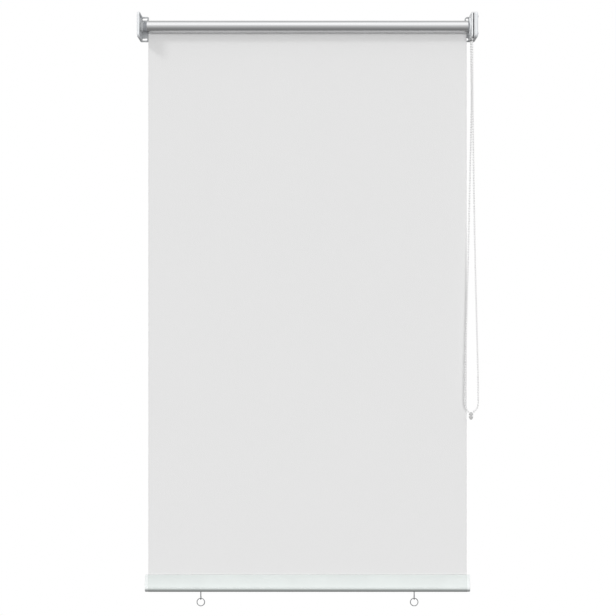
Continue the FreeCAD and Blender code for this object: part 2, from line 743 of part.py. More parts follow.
pad(clutch_core, "tenon", square, s.plate_gauge)
screw_hole = sketch(clutch_core, "screw_hole_outline", "YZ_Plane", half_width)
circle(screw_hole, 0, 0, core_screw_bore)
pocket(clutch_core, "screw_hole", screw_hole, half_width - bore_end)
bevel(clutch_core, "tip_edge", s.core_bevel, {"x": core_tip, "r": s.core_radius})

core_clip = on_axis("core_clip", x=clip_start)
clip_section = sketch(core_clip, "clip_section", "YZ_Plane")
circle(clip_section, 0, 0, s.clip_radius)
circle(clip_section, 0, 0, clip_floor + s.fit_gap)
pad(core_clip, "clip", clip_section, s.clip_gauge)
clip_gap = sketch(core_clip, "clip_gap_outline", "YZ_Plane")
half_gap = s.clip_mouth / 2
box_outline(clip_gap, -half_gap, 0, half_gap, -s.clip_radius - s.side_gap)
pocket(core_clip, "clip_mouth", clip_gap, s.clip_gauge, away=True)

chain_wheel = on_axis("chain_wheel", x=wheel_plane)
half_wheel = s.wheel_width / 2
half_rim = s.wheel_rim_width / 2
half_cord_groove = s.cord_groove_width / 2
groove_floor = s.wheel_rim_radius - s.cord_groove_depth
sleeve_end = web_out + s.side_gap - wheel_plane
bearing_end = -half_wheel - s.sleeve_bearing
turned(chain_wheel, "wheel", [
    (half_wheel, core_bore), (half_wheel, s.wheel_flange_radius),
    (half_rim + s.wheel_bevel, s.wheel_flange_radius), (half_rim, s.wheel_rim_radius),
    (half_cord_groove, s.wheel_rim_radius), (half_cord_groove, groove_floor),
    (-half_cord_groove, groove_floor), (-half_cord_groove, s.wheel_rim_radius),
    (-half_rim, s.wheel_rim_radius), (-half_rim - s.wheel_bevel, s.wheel_flange_radius),
    (-half_wheel, s.wheel_flange_radius), (-half_wheel, s.sleeve_radius),
    (sleeve_end, s.sleeve_radius), (sleeve_end, s.sleeve_room_radius),
    (bearing_end, s.sleeve_room_radius), (bearing_end, core_bore),
])
sleeve_keys = sketch(chain_wheel, "drive_key_outline", "YZ_Plane", sleeve_end)
drive_keys(sleeve_keys, s.sleeve_room_radius + s.drive_key_height, 0)
pad(chain_wheel, "drive_keys", sleeve_keys, s.drive_key_length)
sleeve_mouth = sketch(chain_wheel, "sleeve_mouth", "XY_Plane", s.core_radius)
box_outline(sleeve_mouth, sleeve_end, -s.sleeve_slot / 2, bearing_end, s.sleeve_slot / 2)
pocket(chain_wheel, "spring_slot", sleeve_mouth, s.sleeve_radius, away=True)
pocket_radius = bead_radius + s.bead_clear
pocket_profile = sketch(chain_wheel, "bead_pocket_profile", "XZ_Plane")
pocket_top = s.wheel_flange_radius + s.bead_clear
outline(pocket_profile, [
    (0, pitch_radius - pocket_radius), (s.pocket_floor, pitch_radius - pocket_radius),
    (pocket_radius, pitch_radius), (pocket_radius, pocket_top), (0, pocket_top),
])
bead_pocket = spun(chain_wheel, "bead_pocket", pocket_profile, axis="V_Axis", cut=True)
pockets = chain_wheel.newObject("PartDesign::PolarPattern", "bead_pockets")
pockets.Originals = [bead_pocket]
pockets.Axis = (pocket_profile, ["H_Axis"])
pockets.Angle = 360
pockets.Occurrences = BEADS_ROUND
chain_wheel.Tip = pockets
doc.recompute()


def clutch_spring(number):
    """One wrap spring of square wire on the core, its ends turned out into the sleeve's slot."""
    wire = s.clutch_wire.value
    length = s.clutch_pitch.value * s.clutch_turns.value
    room = bearing_end.value - sleeve_end.value
    first = sleeve_end.value + room * (number + 0.5) / 2 - length / 2
    steps = round(SPRING_SIDES * s.clutch_turns.value)
    inner = (s.core_radius.value + s.fit_gap.value) / math.cos(math.pi / SPRING_SIDES)
    sections = []
    for i in range(steps + 1):
        angle = math.pi / 2 + 2 * math.pi * i / SPRING_SIDES
        along = first + length * i / steps
        corners = [
            Vector(along + a * wire / 2, r * math.cos(angle), r * math.sin(angle))
            for a, r in ((-1, inner), (1, inner), (1, inner + wire), (-1, inner + wire), (-1, inner))
        ]
        sections.append(Part.makePolygon(corners))
    spring = Part.makeLoft(sections, True, True)
    for along in (first, first + length):
        low = Vector(along - wire / 2, -wire / 2, inner)
        spring = spring.fuse(Part.makeBox(wire, wire, wire + s.clutch_tang.value, low))
    return spring.removeSplitter()


solid(
    "clutch_springs", Part.makeCompound([clutch_spring(i) for i in (0, 1)]),
    x=wheel_plane, y=-s.axis_depth,
)

# Chain guard: two halves round the wheel, with a mouth below for each side of the chain

guard_back = s.plate_gauge + s.bend_radius + s.guard_edge_gap
guard_front = s.plate_depth - s.guard_edge_gap
guard_half = s.plate_height / 2 - s.guard_edge_gap
guard_room_radius = s.wheel_flange_radius + s.guard_room_gap
guard_room = half_wheel + s.guard_side_gap
mouth_half = bead_radius + s.mouth_gap
rim_face = half_width - s.rim_reach


def guard_outline(made, inset):
    box_outline(made, -guard_back, inset - guard_half, inset - guard_front, guard_half - inset)


def guard_corners(made, name, inset):
    """Round the two front corners of the outline that is drawn in by inset."""
    front = inset - guard_front
    places = [{"y": front, "z": up * (guard_half - inset)} for up in (-1, 1)]
    round_off(made, name, s.guard_corner, *places)


def guard_cavity(made, away):
    room = sketch(made, "wheel_room_outline", "YZ_Plane", wheel_plane)
    circle(room, -s.axis_depth, 0, guard_room_radius)
    pocket(made, "wheel_room", room, guard_room, away=away)
    mouths = sketch(made, "mouth_outline", "YZ_Plane", wheel_plane)
    for side in (-1, 1):
        middle = side * pitch_radius - s.axis_depth
        box_outline(mouths, middle - mouth_half, 0, middle + mouth_half, -s.plate_height / 2)
    pocket(made, "chain_mouths", mouths, mouth_half, away=away)


def guard_screw_holes(made, depth, away):
    holes = sketch(made, "screw_hole_outline", "YZ_Plane", wheel_plane)
    for y, z in guard_screw_places:
        circle(holes, y, z, s.guard_screw_radius + s.hole_clear)
    pocket(made, "screw_holes", holes, depth, away=away)


guard_inner = body("chain_guard_inner")
inner_plate = sketch(guard_inner, "plate_outline", "YZ_Plane", guard_plate_face)
guard_outline(inner_plate, 0)
pad(guard_inner, "plate", inner_plate, wheel_plane - guard_plate_face)
guard_corners(guard_inner, "plate_corners", 0)
round_off(guard_inner, "plate_edge", s.guard_round, {"x": guard_plate_face})
drum = sketch(guard_inner, "drum_outline", "YZ_Plane", guard_inner_face)
circle(drum, -s.axis_depth, 0, s.guard_drum_radius)
pad(guard_inner, "drum", drum, wheel_plane - guard_inner_face)
round_off(guard_inner, "drum_edge", s.guard_round, {"x": guard_inner_face})
guard_cavity(guard_inner, away=False)
screw_depth = s.guard_screw_length - (half_width - wheel_plane) + s.tip_gap
guard_screw_holes(guard_inner, screw_depth, away=False)
sleeve_hole = sketch(guard_inner, "sleeve_hole_outline", "YZ_Plane", wheel_plane)
circle(sleeve_hole, -s.axis_depth, 0, s.sleeve_radius + s.drive_key_height + s.guard_side_gap)
pocket(guard_inner, "sleeve_hole", sleeve_hole, wheel_plane - guard_inner_face)

guard_outer = body("chain_guard_outer")
outer_flange = sketch(guard_outer, "flange_outline", "YZ_Plane", wheel_plane)
guard_outline(outer_flange, 0)
pad(guard_outer, "flange", outer_flange, rim_face - s.guard_side_gap - wheel_plane)
guard_corners(guard_outer, "flange_corners", 0)
insert = sketch(guard_outer, "insert_outline", "YZ_Plane", wheel_plane)
guard_outline(insert, s.plate_gauge)
pad(guard_outer, "insert", insert, plate_inside - wheel_plane)
guard_corners(guard_outer, "insert_corners", s.plate_gauge)
joint_groove = sketch(guard_outer, "joint_groove_outline", "YZ_Plane", wheel_plane)
margin = s.guard_groove_depth
beyond = s.plate_height / 2
box_outline(joint_groove, 0, -beyond, -s.plate_depth, beyond)
box_outline(
    joint_groove, -guard_back - margin, margin - guard_half, margin - guard_front, guard_half - margin
)
pocket(guard_outer, "joint_groove", joint_groove, s.guard_groove_width, away=True)
guard_cavity(guard_outer, away=True)
guard_screw_holes(guard_outer, plate_inside - wheel_plane, away=True)
boss_hole = sketch(guard_outer, "boss_hole_outline", "YZ_Plane", wheel_plane)
circle(boss_hole, -s.axis_depth, 0, s.core_boss_radius + s.fit_gap)
pocket(guard_outer, "boss_hole", boss_hole, plate_inside - wheel_plane, away=True)

guard_screw_group = [
    headed_pin(
        f"guard_screw_{number}", half_width, y, z, -1, s.guard_screw_radius, s.guard_screw_length,
        s.guard_screw_head, s.guard_screw_height, s.guard_screw_round,
    )
    for number, (y, z) in enumerate(guard_screw_places, 1)
]

core_washer = on_axis("core_washer", x=half_width)
washer_section = sketch(core_washer, "washer_section", "YZ_Plane")
circle(washer_section, 0, 0, s.washer_radius)
circle(washer_section, 0, 0, core_screw_bore)
pad(core_washer, "washer", washer_section, s.washer_gauge)
headed_pin(
    "core_screw", half_width + s.washer_gauge, -s.axis_depth, 0, -1,
    s.core_screw_radius, s.core_screw_length, s.core_screw_head, s.core_screw_height,
    s.core_screw_round,
)

# Bead chain: the beads on the wheel, two free strands and the connector


def chain_on_wheel():
    """Beads in the wheel's pockets, one more on each side, and the cord through them."""
    pitch = pitch_radius.value
    step = 2 * math.pi / BEADS_ROUND
    around = [
        Vector(0, pitch * math.cos(i * step), pitch * math.sin(i * step))
        for i in range(BEADS_ROUND // 2 + 1)
    ]
    back, front = (Vector(0, side * pitch, -s.bead_pitch.value) for side in (1, -1))
    centres = [back, *around, front]
    made = [Part.makeSphere(bead_radius.value, centre) for centre in centres]
    for a, b in zip(centres, centres[1:]):
        made.append(Part.makeCylinder(s.cord_diameter.value / 2, (b - a).Length, a, b - a))
    reach = pitch + bead_radius.value
    below = Part.makeBox(
        2 * reach, 2 * reach, reach, Vector(-reach, -reach, -s.strand_start.value - reach)
    )
    return made[0].multiFuse(made[1:]).cut(below).removeSplitter()


solid("chain_on_wheel", chain_on_wheel(), x=wheel_plane, y=-s.axis_depth)

# Bends of the two free strands, from the wheel's plane, the axis and the axis's height
FRONT_STRAND = [
    (0, -15.45, -45), (0.25, -15, -100), (0.7, -14.2, -155), (1.4, -13.2, -215),
    (2.25, -12.05, -275), (3.25, -10.8, -335), (4.3, -9.5, -395), (5.45, -8.1, -455),
    (6.7, -6.75, -515), (8.1, -5.4, -575), (9.7, -4.2, -635), (11.4, -3, -695), (13.1, -1.95, -755),
    (14.5, -1.1, -810), (15.35, -0.5, -855), (15.6, -0.15, -885), (14.8, 0, -900), (7.8, 0, -908.4),
]
BACK_STRAND = [
    (0, 15.35, -45), (0.2, 11.6, -95), (0.2, 7, -145), (0.05, 4, -190), (-1.05, 3.3, -240),
    (-2.35, 2.8, -295), (-3.65, 2.35, -350), (-5, 1.9, -410), (-6.4, 1.5, -470),
    (-7.82, 1.15, -530), (-9.27, 0.85, -590), (-10.77, 0.6, -650), (-12.32, 0.4, -710),
    (-13.7, 0.25, -765), (-14.8, 0.15, -810), (-15.55, 0.08, -850), (-15.9, 0.03, -880),
    (-15.6, 0, -899), (-10.8, 0, -908.4),
]


def cord_tube(name, points, radius):
    """A tube along straight runs joined by tangent arcs."""
    corners = [Vector(*p) for p in points]
    runs = [(b - a).Length for a, b in zip(corners, corners[1:])]
    edges = []
    at = corners[0]
    radii = []
    for i in range(1, len(corners) - 1):
        back = (corners[i - 1] - corners[i]).normalize()
        ahead = (corners[i + 1] - corners[i]).normalize()
        turn = math.pi - back.getAngle(ahead)
        cut = 0.45 * min(runs[i - 1], runs[i])
        bend = cut / math.tan(turn / 2)
        radii.append(round(bend))
        start = corners[i] + back * cut
        end = corners[i] + ahead * cut
        to_middle = (back + ahead).normalize()
        middle = corners[i] + to_middle * (bend / math.cos(turn / 2) - bend)
        edges.append(Part.LineSegment(at, start).toShape())
        edges.append(Part.Arc(start, middle, end).toShape())
        at = end
    edges.append(Part.LineSegment(at, corners[-1]).toShape())
    path = Part.Wire(edges)
    first = (corners[1] - corners[0]).normalize()
    section = Part.Wire(Part.makeCircle(radius, corners[0], first))
    tube = path.makePipeShell([section], True, False)
    length = sum(edge.Length for edge in edges)
    share = tube.Volume / (math.pi * radius**2 * length)
    print(f"{name}: {length:.1f} mm long, radii {radii}, volume {share:.4f} of section x length")
    return tube


def strand_route(side, bends):
    """From under the wheel, by the bends, to the connector's slope on that side."""
    stretch = (s.link_bend.value - s.link_top.value) / bends[-1][2]
    plane = wheel_plane.value
    axis_y = -s.axis_depth.value
    return [
        (plane, axis_y + side * pitch_radius.value, -s.strand_start.value),
        *[(plane + x, axis_y + y, z * stretch) for x, y, z in bends],
        (link_x.value - side * s.link_entry.value, axis_y, -s.link_top.value - s.link_entry.value),
    ]


for label, side, bends in (
    ("chain_front_strand", -1, FRONT_STRAND), ("chain_back_strand", 1, BACK_STRAND),
):
    solid(label, cord_tube(label, strand_route(side, bends), bead_radius.value))

link_upper = body("chain_connector_upper", x=link_x, y=-s.axis_depth, z=-s.link_top)
half_link = s.link_width / 2
upper_low = -s.link_eave - s.link_upper
roof = sketch(link_upper, "roof_outline", "XZ_Plane")
outline(roof, [
    (0, 0), (half_link, -s.link_eave), (half_link, upper_low), (-half_link, upper_low),
    (-half_link, -s.link_eave),
])
pad(link_upper, "block", roof, s.link_depth, middle=True)
stem_hole = sketch(link_upper, "stem_hole_outline", "XY_Plane", upper_low)
circle(stem_hole, 0, 0, s.link_stem + s.fit_gap)
pocket(link_upper, "stem_hole", stem_hole, s.link_stem_height + s.fit_gap, away=True)
round_off(
    link_upper, "upright_edges", s.link_round,
    *[{"x": side * half_link, "y": face * s.link_depth / 2} for side in (-1, 1) for face in (-1, 1)],
)

lower_top = upper_low - s.link_groove
lower_tip = lower_top - s.link_lower
half_tip = s.link_tip / 2
link_lower = body("chain_connector_lower", x=link_x, y=-s.axis_depth, z=-s.link_top)
wedge = sketch(link_lower, "wedge_outline", "XZ_Plane")
outline(wedge, [
    (half_link, lower_top), (half_link, lower_top - s.link_neck), (half_tip, lower_tip),
    (-half_tip, lower_tip), (-half_link, lower_top - s.link_neck), (-half_link, lower_top),
])
pad(link_lower, "wedge", wedge, s.link_depth, middle=True)
stem = sketch(link_lower, "stem_outline", "XY_Plane", lower_top)
circle(stem, 0, 0, s.link_stem)
pad(link_lower, "stem", stem, s.link_groove + s.link_stem_height)
round_off(
    link_lower, "tip_edges", s.link_round,
    *[{"z": lower_tip, "y": face * s.link_depth / 2} for face in (-1, 1)],
    *[{"z": lower_tip, "x": side * half_tip} for side in (-1, 1)],
)

# Cloth, from the tube's back down to the rail

fabric = body("blind_fabric", y=cloth_y)
cloth_section = sketch(fabric, "cloth_outline", "XZ_Plane")
box_outline(cloth_section, -half_cloth, -s.fabric_drop, half_cloth, 0)
pad(fabric, "cloth", cloth_section, s.fabric_gauge, middle=True)

# Bottom rail: an extruded drop-shaped profile with a channel for the hem

side_run = s.rail_nose - s.rail_lip
side_radius = (side_run * side_run + s.rail_shoulder * s.rail_shoulder) / (2 * side_run)
nose_middle = s.rail_nose - s.rail_height


def rail_profile(made):
    """The rail's outer shape: lips, long curved sides, a short upright and a round nose."""
    nose = nose_middle
    upright = -s.rail_shoulder
    lip = made.addGeometry(Part.LineSegment(flat(-s.rail_lip, 0), flat(s.rail_lip, 0)), False)
    curves = []
    for side in (1, -1):
        centre = side * (s.rail_nose - side_radius)
        reach = math.asin(s.rail_shoulder.value / side_radius.value)
        span = (0, reach) if side > 0 else (math.pi - reach, math.pi)
        ring = Part.Circle(flat(centre, upright), Vector(0, 0, 1), side_radius.value)
        curves.append(made.addGeometry(Part.ArcOfCircle(ring, *span), False))
    right_wall = made.addGeometry(
        Part.LineSegment(flat(s.rail_nose, upright), flat(s.rail_nose, nose)), False
    )
    nose_ring = Part.Circle(flat(0, nose), Vector(0, 0, 1), s.rail_nose.value)
    nose_arc = made.addGeometry(Part.ArcOfCircle(nose_ring, math.pi, 2 * math.pi), False)
    left_wall = made.addGeometry(
        Part.LineSegment(flat(-s.rail_nose, nose), flat(-s.rail_nose, upright)), False
    )
    right, left = curves
    made.addConstraint(Sketcher.Constraint("Coincident", lip, 2, right, 2))
    made.addConstraint(Sketcher.Constraint("Coincident", lip, 1, left, 1))
    made.addConstraint(Sketcher.Constraint("Tangent", right, 1, right_wall, 1))
    made.addConstraint(Sketcher.Constraint("Tangent", right_wall, 2, nose_arc, 2))
    made.addConstraint(Sketcher.Constraint("Tangent", nose_arc, 1, left_wall, 1))
    made.addConstraint(Sketcher.Constraint("Tangent", left_wall, 2, left, 2))
    pin_point(made, lip, 1, -s.rail_lip, 0)
    pin_point(made, lip, 2, s.rail_lip, 0)
    pin_point(made, right_wall, 1, s.rail_nose, upright)
    pin_point(made, left_wall, 2, -s.rail_nose, upright)
    pin_point(made, nose_arc, 3, 0, nose)


def hollow_profile(made, gap):
    """The rail's hollow, drawn in by gap for what fits inside it."""
    nose = nose_middle
    radius = s.rail_nose - s.rail_wall - gap
    low = -s.rail_shoulder
    high = -s.rail_web - gap
    shift = s.rail_shoulder - s.rail_web
    narrow = root(side_radius * side_radius - shift * shift) - side_radius + radius
    top = made.addGeometry(Part.LineSegment(flat(-narrow, high), flat(narrow, high)), False)
    points = [(narrow, high), (radius, low), (radius, nose)]
    right = [
        made.addGeometry(Part.LineSegment(flat(*a), flat(*b)), False)
        for a, b in zip(points, points[1:])
    ]
    ring = Part.Circle(flat(0, nose), Vector(0, 0, 1), radius.value)
    floor = made.addGeometry(Part.ArcOfCircle(ring, math.pi, 2 * math.pi), False)
    points = [(-radius, nose), (-radius, low), (-narrow, high)]
    left = [
        made.addGeometry(Part.LineSegment(flat(*a), flat(*b)), False)
        for a, b in zip(points, points[1:])
    ]
    for a, a_end, b, b_end in (
        (top, 2, right[0], 1), (right[0], 2, right[1], 1), (left[0], 2, left[1], 1),
        (left[1], 2, top, 1),
    ):
        made.addConstraint(Sketcher.Constraint("Coincident", a, a_end, b, b_end))
    made.addConstraint(Sketcher.Constraint("Tangent", right[1], 2, floor, 2))
    made.addConstraint(Sketcher.Constraint("Tangent", floor, 1, left[0], 1))
    pin_point(made, top, 1, -narrow, high)
    pin_point(made, top, 2, narrow, high)
    pin_point(made, right[1], 1, radius, low)
    pin_point(made, left[0], 2, -radius, low)
    pin_point(made, floor, 3, 0, nose)


bottom_rail = body("bottom_rail", y=cloth_y, z=-s.fabric_drop)
section = sketch(bottom_rail, "rail_section", "YZ_Plane")
rail_profile(section)
pad(bottom_rail, "profile", section, rail_length, middle=True)
hollow = sketch(bottom_rail, "hollow_section", "YZ_Plane")
hollow_profile(hollow, 0)
pocket(bottom_rail, "hollow", hollow, rail_length, middle=True)
key_bore = sketch(bottom_rail, "cloth_channel_section", "YZ_Plane")
circle(key_bore, 0, -s.rail_key_depth, s.rail_key_radius)
pocket(bottom_rail, "cloth_channel", key_bore, rail_length, middle=True)
key_slot = sketch(bottom_rail, "cloth_mouth_section", "YZ_Plane")
box_outline(key_slot, -s.rail_mouth, s.rail_wall, s.rail_mouth, -s.rail_key_depth)
pocket(bottom_rail, "cloth_mouth", key_slot, rail_length, middle=True)
eye_holes = sketch(bottom_rail, "eye_hole_outline", "XY_Plane", -s.rail_height)
for side in (-1, 1):
    circle(eye_holes, side * eye_spread, 0, s.shank_radius + s.hole_clear)
pocket(bottom_rail, "eye_holes", eye_holes, s.rail_nose, away=True)

hem_inner = s.rod_radius + s.fit_gap
hem_outer = hem_inner + s.fabric_gauge
hem_middle = s.rail_key_radius - hem_outer - s.fit_gap - s.rail_key_depth
hem_rod = body("hem_rod", y=cloth_y, z=hem_middle - s.fabric_drop)
hem_rod_section = sketch(hem_rod, "rod_section", "YZ_Plane")
circle(hem_rod_section, 0, 0, s.rod_radius)
pad(hem_rod, "rod", hem_rod_section, fabric_width, middle=True)

hem = body("fabric_hem", y=cloth_y, z=-s.fabric_drop)
hem_loop = sketch(hem, "loop_section", "YZ_Plane")
circle(hem_loop, 0, hem_middle, hem_outer)
circle(hem_loop, 0, hem_middle, hem_inner)
pad(hem, "loop", hem_loop, fabric_width, middle=True)
hem_neck = sketch(hem, "neck_section", "YZ_Plane")
half_gauge = s.fabric_gauge / 2
box_outline(hem_neck, -half_gauge, 0, half_gauge, hem_middle + hem_inner + half_gauge)
pad(hem, "neck", hem_neck, fabric_width, middle=True)

for side, label in ((-1, "rail_cap_left"), (1, "rail_cap_right")):
    cap = body(label, y=cloth_y, z=-s.fabric_drop)
    cap_section = sketch(cap, "cap_section", "YZ_Plane", side * half_rail)
    rail_profile(cap_section)
    pad(cap, "cap", cap_section, s.cap_length, away=side < 0)
    round_off(cap, "cap_edge", s.cap_round, {"x": side * (half_rail + s.cap_length)})
    plug_section = sketch(cap, "plug_section", "YZ_Plane", side * half_rail)
    hollow_profile(plug_section, s.cap_gap)
    pad(cap, "plug", plug_section, s.cap_plug, away=side > 0)

# Eye screws with their nuts, and the rings that hang in them

eye_z = -s.fabric_drop - s.rail_height - s.eye_drop
ring_top = s.eye_wire + s.ring_wire + s.fit_gap - s.eye_radius
for side, word in ((-1, "left"), (1, "right")):
    eye = body(f"eye_screw_{word}", x=side * eye_spread, y=cloth_y, z=eye_z)
    wire = sketch(eye, "eye_wire", "XY_Plane")
    circle(wire, 0, s.eye_radius, s.eye_wire)
    spun(eye, "eye", wire)
    shank = sketch(eye, "shank_outline", "XY_Plane", s.eye_radius)
    circle(shank, 0, 0, s.shank_radius)
    pad(eye, "shank", shank, s.eye_drop - s.eye_radius + s.shank_inside)

    hanging = body(f"ring_{word}", x=side * eye_spread, y=cloth_y, z=eye_z + ring_top - s.ring_radius)
    ring_section = sketch(hanging, "ring_wire", "XY_Plane")
    circle(ring_section, s.ring_radius, 0, s.ring_wire)
    spun(hanging, "ring", ring_section, axis="V_Axis")

nut_corner = s.nut_across / 2 / cosine(as_size(30))
hollow_floor = s.rail_nose - s.rail_wall
nut_rise = root(hollow_floor * hollow_floor - s.nut_across * s.nut_across / 4)
nut_z = nose_middle - nut_rise + s.fit_gap - s.fabric_drop
nut_group = []
for number, side in enumerate((-1, 1), 1):
    nut = body(f"eye_nut_{number}", x=side * eye_spread, y=cloth_y, z=nut_z)
    hexagon = sketch(nut, "nut_section", "XY_Plane")
    outline(hexagon, [
        (nut_corner * cosine(as_size(60 * i)), nut_corner * sine(as_size(60 * i))) for i in range(6)
    ])
    pad(nut, "nut", hexagon, s.nut_height)
    nut_bore = sketch(nut, "bore_outline", "XY_Plane")
    circle(nut_bore, 0, 0, s.shank_radius + s.fit_gap)
    pocket(nut, "bore", nut_bore, s.nut_height, away=True)
    nut_group.append(nut)

# Write one file for each sub-part

GROUPS = {
    "idle_hub_rivets": rivet_group,
    "guard_screws": guard_screw_group,
    "eye_nuts": nut_group,
}
for name, members in GROUPS.items():
    group = doc.addObject("Part::Compound", name)
    group.Label = name
    group.Links = members
doc.recompute()

for made in doc.Objects:
    if {"Invalid", "Error"} & set(made.State):
        raise RuntimeError(f"{made.Label} failed: {made.State}")
grouped = {member.Name for members in GROUPS.values() for member in members}
subparts = [
    made for made in doc.Objects
    if made.TypeId in ("PartDesign::Body", "Part::Feature", "Part::Compound")
    and made.Name not in grouped
]
for made in subparts:
    if made.Shape.isNull() or not made.Shape.isValid():
        raise RuntimeError(f"{made.Label} has no valid shape")
os.makedirs("parts", exist_ok=True)
for made in subparts:
    made.Shape.exportStep(f"parts/{made.Label}.step")
print(len(subparts), "sub-parts written")
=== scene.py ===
import bpy
import bmesh
import math
from mathutils import Matrix, Vector


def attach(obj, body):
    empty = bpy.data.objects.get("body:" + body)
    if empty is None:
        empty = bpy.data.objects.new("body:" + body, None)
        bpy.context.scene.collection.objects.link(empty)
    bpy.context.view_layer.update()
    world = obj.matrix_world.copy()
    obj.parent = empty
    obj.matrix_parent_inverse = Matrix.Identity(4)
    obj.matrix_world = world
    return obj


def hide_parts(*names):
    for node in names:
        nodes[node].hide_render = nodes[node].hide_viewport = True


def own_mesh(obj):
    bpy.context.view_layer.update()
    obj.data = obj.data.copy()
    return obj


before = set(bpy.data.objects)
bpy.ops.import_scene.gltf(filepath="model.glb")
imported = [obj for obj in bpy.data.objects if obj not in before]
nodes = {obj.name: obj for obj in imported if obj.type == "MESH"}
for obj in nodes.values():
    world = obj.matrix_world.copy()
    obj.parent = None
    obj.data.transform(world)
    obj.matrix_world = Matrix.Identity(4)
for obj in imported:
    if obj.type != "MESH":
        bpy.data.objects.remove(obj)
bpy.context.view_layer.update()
scene = bpy.context.scene
scene.view_settings.view_transform = "Standard"


def linked(name, data):
    made = bpy.data.objects.new(name, data)
    scene.collection.objects.link(made)
    return made


# camera: level, straight in front, at about the height of the blind's middle

cameraView = {
    "place": (0.0012, -3.4, -0.6655),
    "turn": 90,
    "lens": 83.1,
    "sensor": 36.0,
    "farthest": 60,
}


def makeCamera():
    data = bpy.data.cameras.new("viewCamera")
    data.lens = cameraView["lens"]
    data.sensor_width = cameraView["sensor"]
    data.clip_end = cameraView["farthest"]
    made = linked("viewCamera", data)
    made.location = cameraView["place"]
    made.rotation_euler = (math.radians(cameraView["turn"]), 0, 0)
    scene.camera = made


makeCamera()
print("camera set")


# shader helpers: sums on sockets are written as plain expressions


class Value:
    def __init__(self, shader, socket):
        self.shader = shader
        self.socket = socket

    def maths(self, operation, first, second):
        made = self.shader.node("ShaderNodeMath", {"operation": operation}, {0: first, 1: second})
        return Value(self.shader, made.outputs[0])

    def __add__(self, other):
        return self.maths("ADD", self, other)

    def __radd__(self, other):
        return self.maths("ADD", other, self)

    def __sub__(self, other):
        return self.maths("SUBTRACT", self, other)

    def __mul__(self, other):
        return self.maths("MULTIPLY", self, other)

    def __rmul__(self, other):
        return self.maths("MULTIPLY", other, self)

    def above(self, edge, width):
        return self.shader.step(self, edge, edge + width)

    def sine(self):
        return self.maths("SINE", self, 0.0)

    def size(self):
        return self.maths("ABSOLUTE", self, 0.0)


class Shader:
    def __init__(self, name, colour, roughness, metallic=0.0, **constants):
        self.material = bpy.data.materials.new(name)
        self.material.use_nodes = True
        self.tree = self.material.node_tree
        self.surface = self.tree.nodes["Principled BSDF"]
        self.feed(self.surface.inputs["Base Color"], (*colour, 1.0))
        self.feed(self.surface.inputs["Roughness"], roughness)
        self.feed(self.surface.inputs["Metallic"], metallic)
        for key, number in constants.items():
            self.surface.inputs[key.replace("_", " ")].default_value = number
        self.material.diffuse_color = (*colour, 1.0)

    def node(self, kind, settings=None, sockets=None):
        made = self.tree.nodes.new(kind)
        for key, setting in (settings or {}).items():
            setattr(made, key, setting)
        for key, value in (sockets or {}).items():
            self.feed(made.inputs[key], value)
        return made

    def feed(self, socket, value):
        if isinstance(value, Value):
            self.tree.links.new(value.socket, socket)
        else:
            socket.default_value = value

    def place(self, stretch):
        where = self.node("ShaderNodeTexCoord")
        return Value(self, self.node("ShaderNodeMapping", None, {
            "Vector": Value(self, where.outputs["Object"]), "Scale": stretch,
        }).outputs["Vector"])

    def along(self, axis):
        where = Value(self, self.node("ShaderNodeTexCoord").outputs["Object"])
        return Value(self, self.node("ShaderNodeSeparateXYZ", None, {"Vector": where}).outputs[axis])

    def noise(self, scale, detail, stretch=(1, 1, 1)):
        made = self.node("ShaderNodeTexNoise", None, {
            "Vector": self.place(stretch), "Scale": scale, "Detail": detail, "Roughness": 0.5,
        })
        return Value(self, made.outputs["Fac"])

    def step(self, value, low, high):
        made = self.node("ShaderNodeMapRange", {"interpolation_type": "SMOOTHSTEP"}, {
            "Value": value, "From Min": low, "From Max": high,
        })
        return Value(self, made.outputs["Result"])

    def blend(self, mask, first, second):
        ends = [end if isinstance(end, Value) else (*end, 1.0) for end in (first, second)]
        made = self.node("ShaderNodeMix", {"data_type": "RGBA"}, {0: mask, 6: ends[0], 7: ends[1]})
        return Value(self, made.outputs[2])

    def colour(self, value):
        self.feed(self.surface.inputs["Base Color"], value)

    def roughness(self, value):
        self.feed(self.surface.inputs["Roughness"], value)

    def bump(self, height, distance):
        made = self.node("ShaderNodeBump", None, {
            "Height": height, "Distance": distance, "Strength": 1.0,
        })
        self.feed(self.surface.inputs["Normal"], Value(self, made.outputs["Normal"]))


def shade(colour, share):
    return tuple(min(1.0, channel * share) for channel in colour)


# numbers inside the finishes: where a blend starts, how wide it is and how far roughness varies

surfaceDetail = {
    "patches": (0.35, 0.3),
    "drawnLines": (0.3, 0.4),
    "wallShadeEdge": 0.0006,
    "undersideShadeEdge": 0.005,
    "grooveShadeEdge": 0.0001,
    "paintCoat": 0.18,
    "plainIndex": 1.5,
    "plasticCoat": 0.3,
    "sheenSpread": 0.5,
    "paintVary": 0.12,
    "plasticVary": 0.15,
    "lineVary": 0.1,
    "drawnVary": 0.06,
    "plateVary": 0.2,
    "slubVary": 0.1,
}


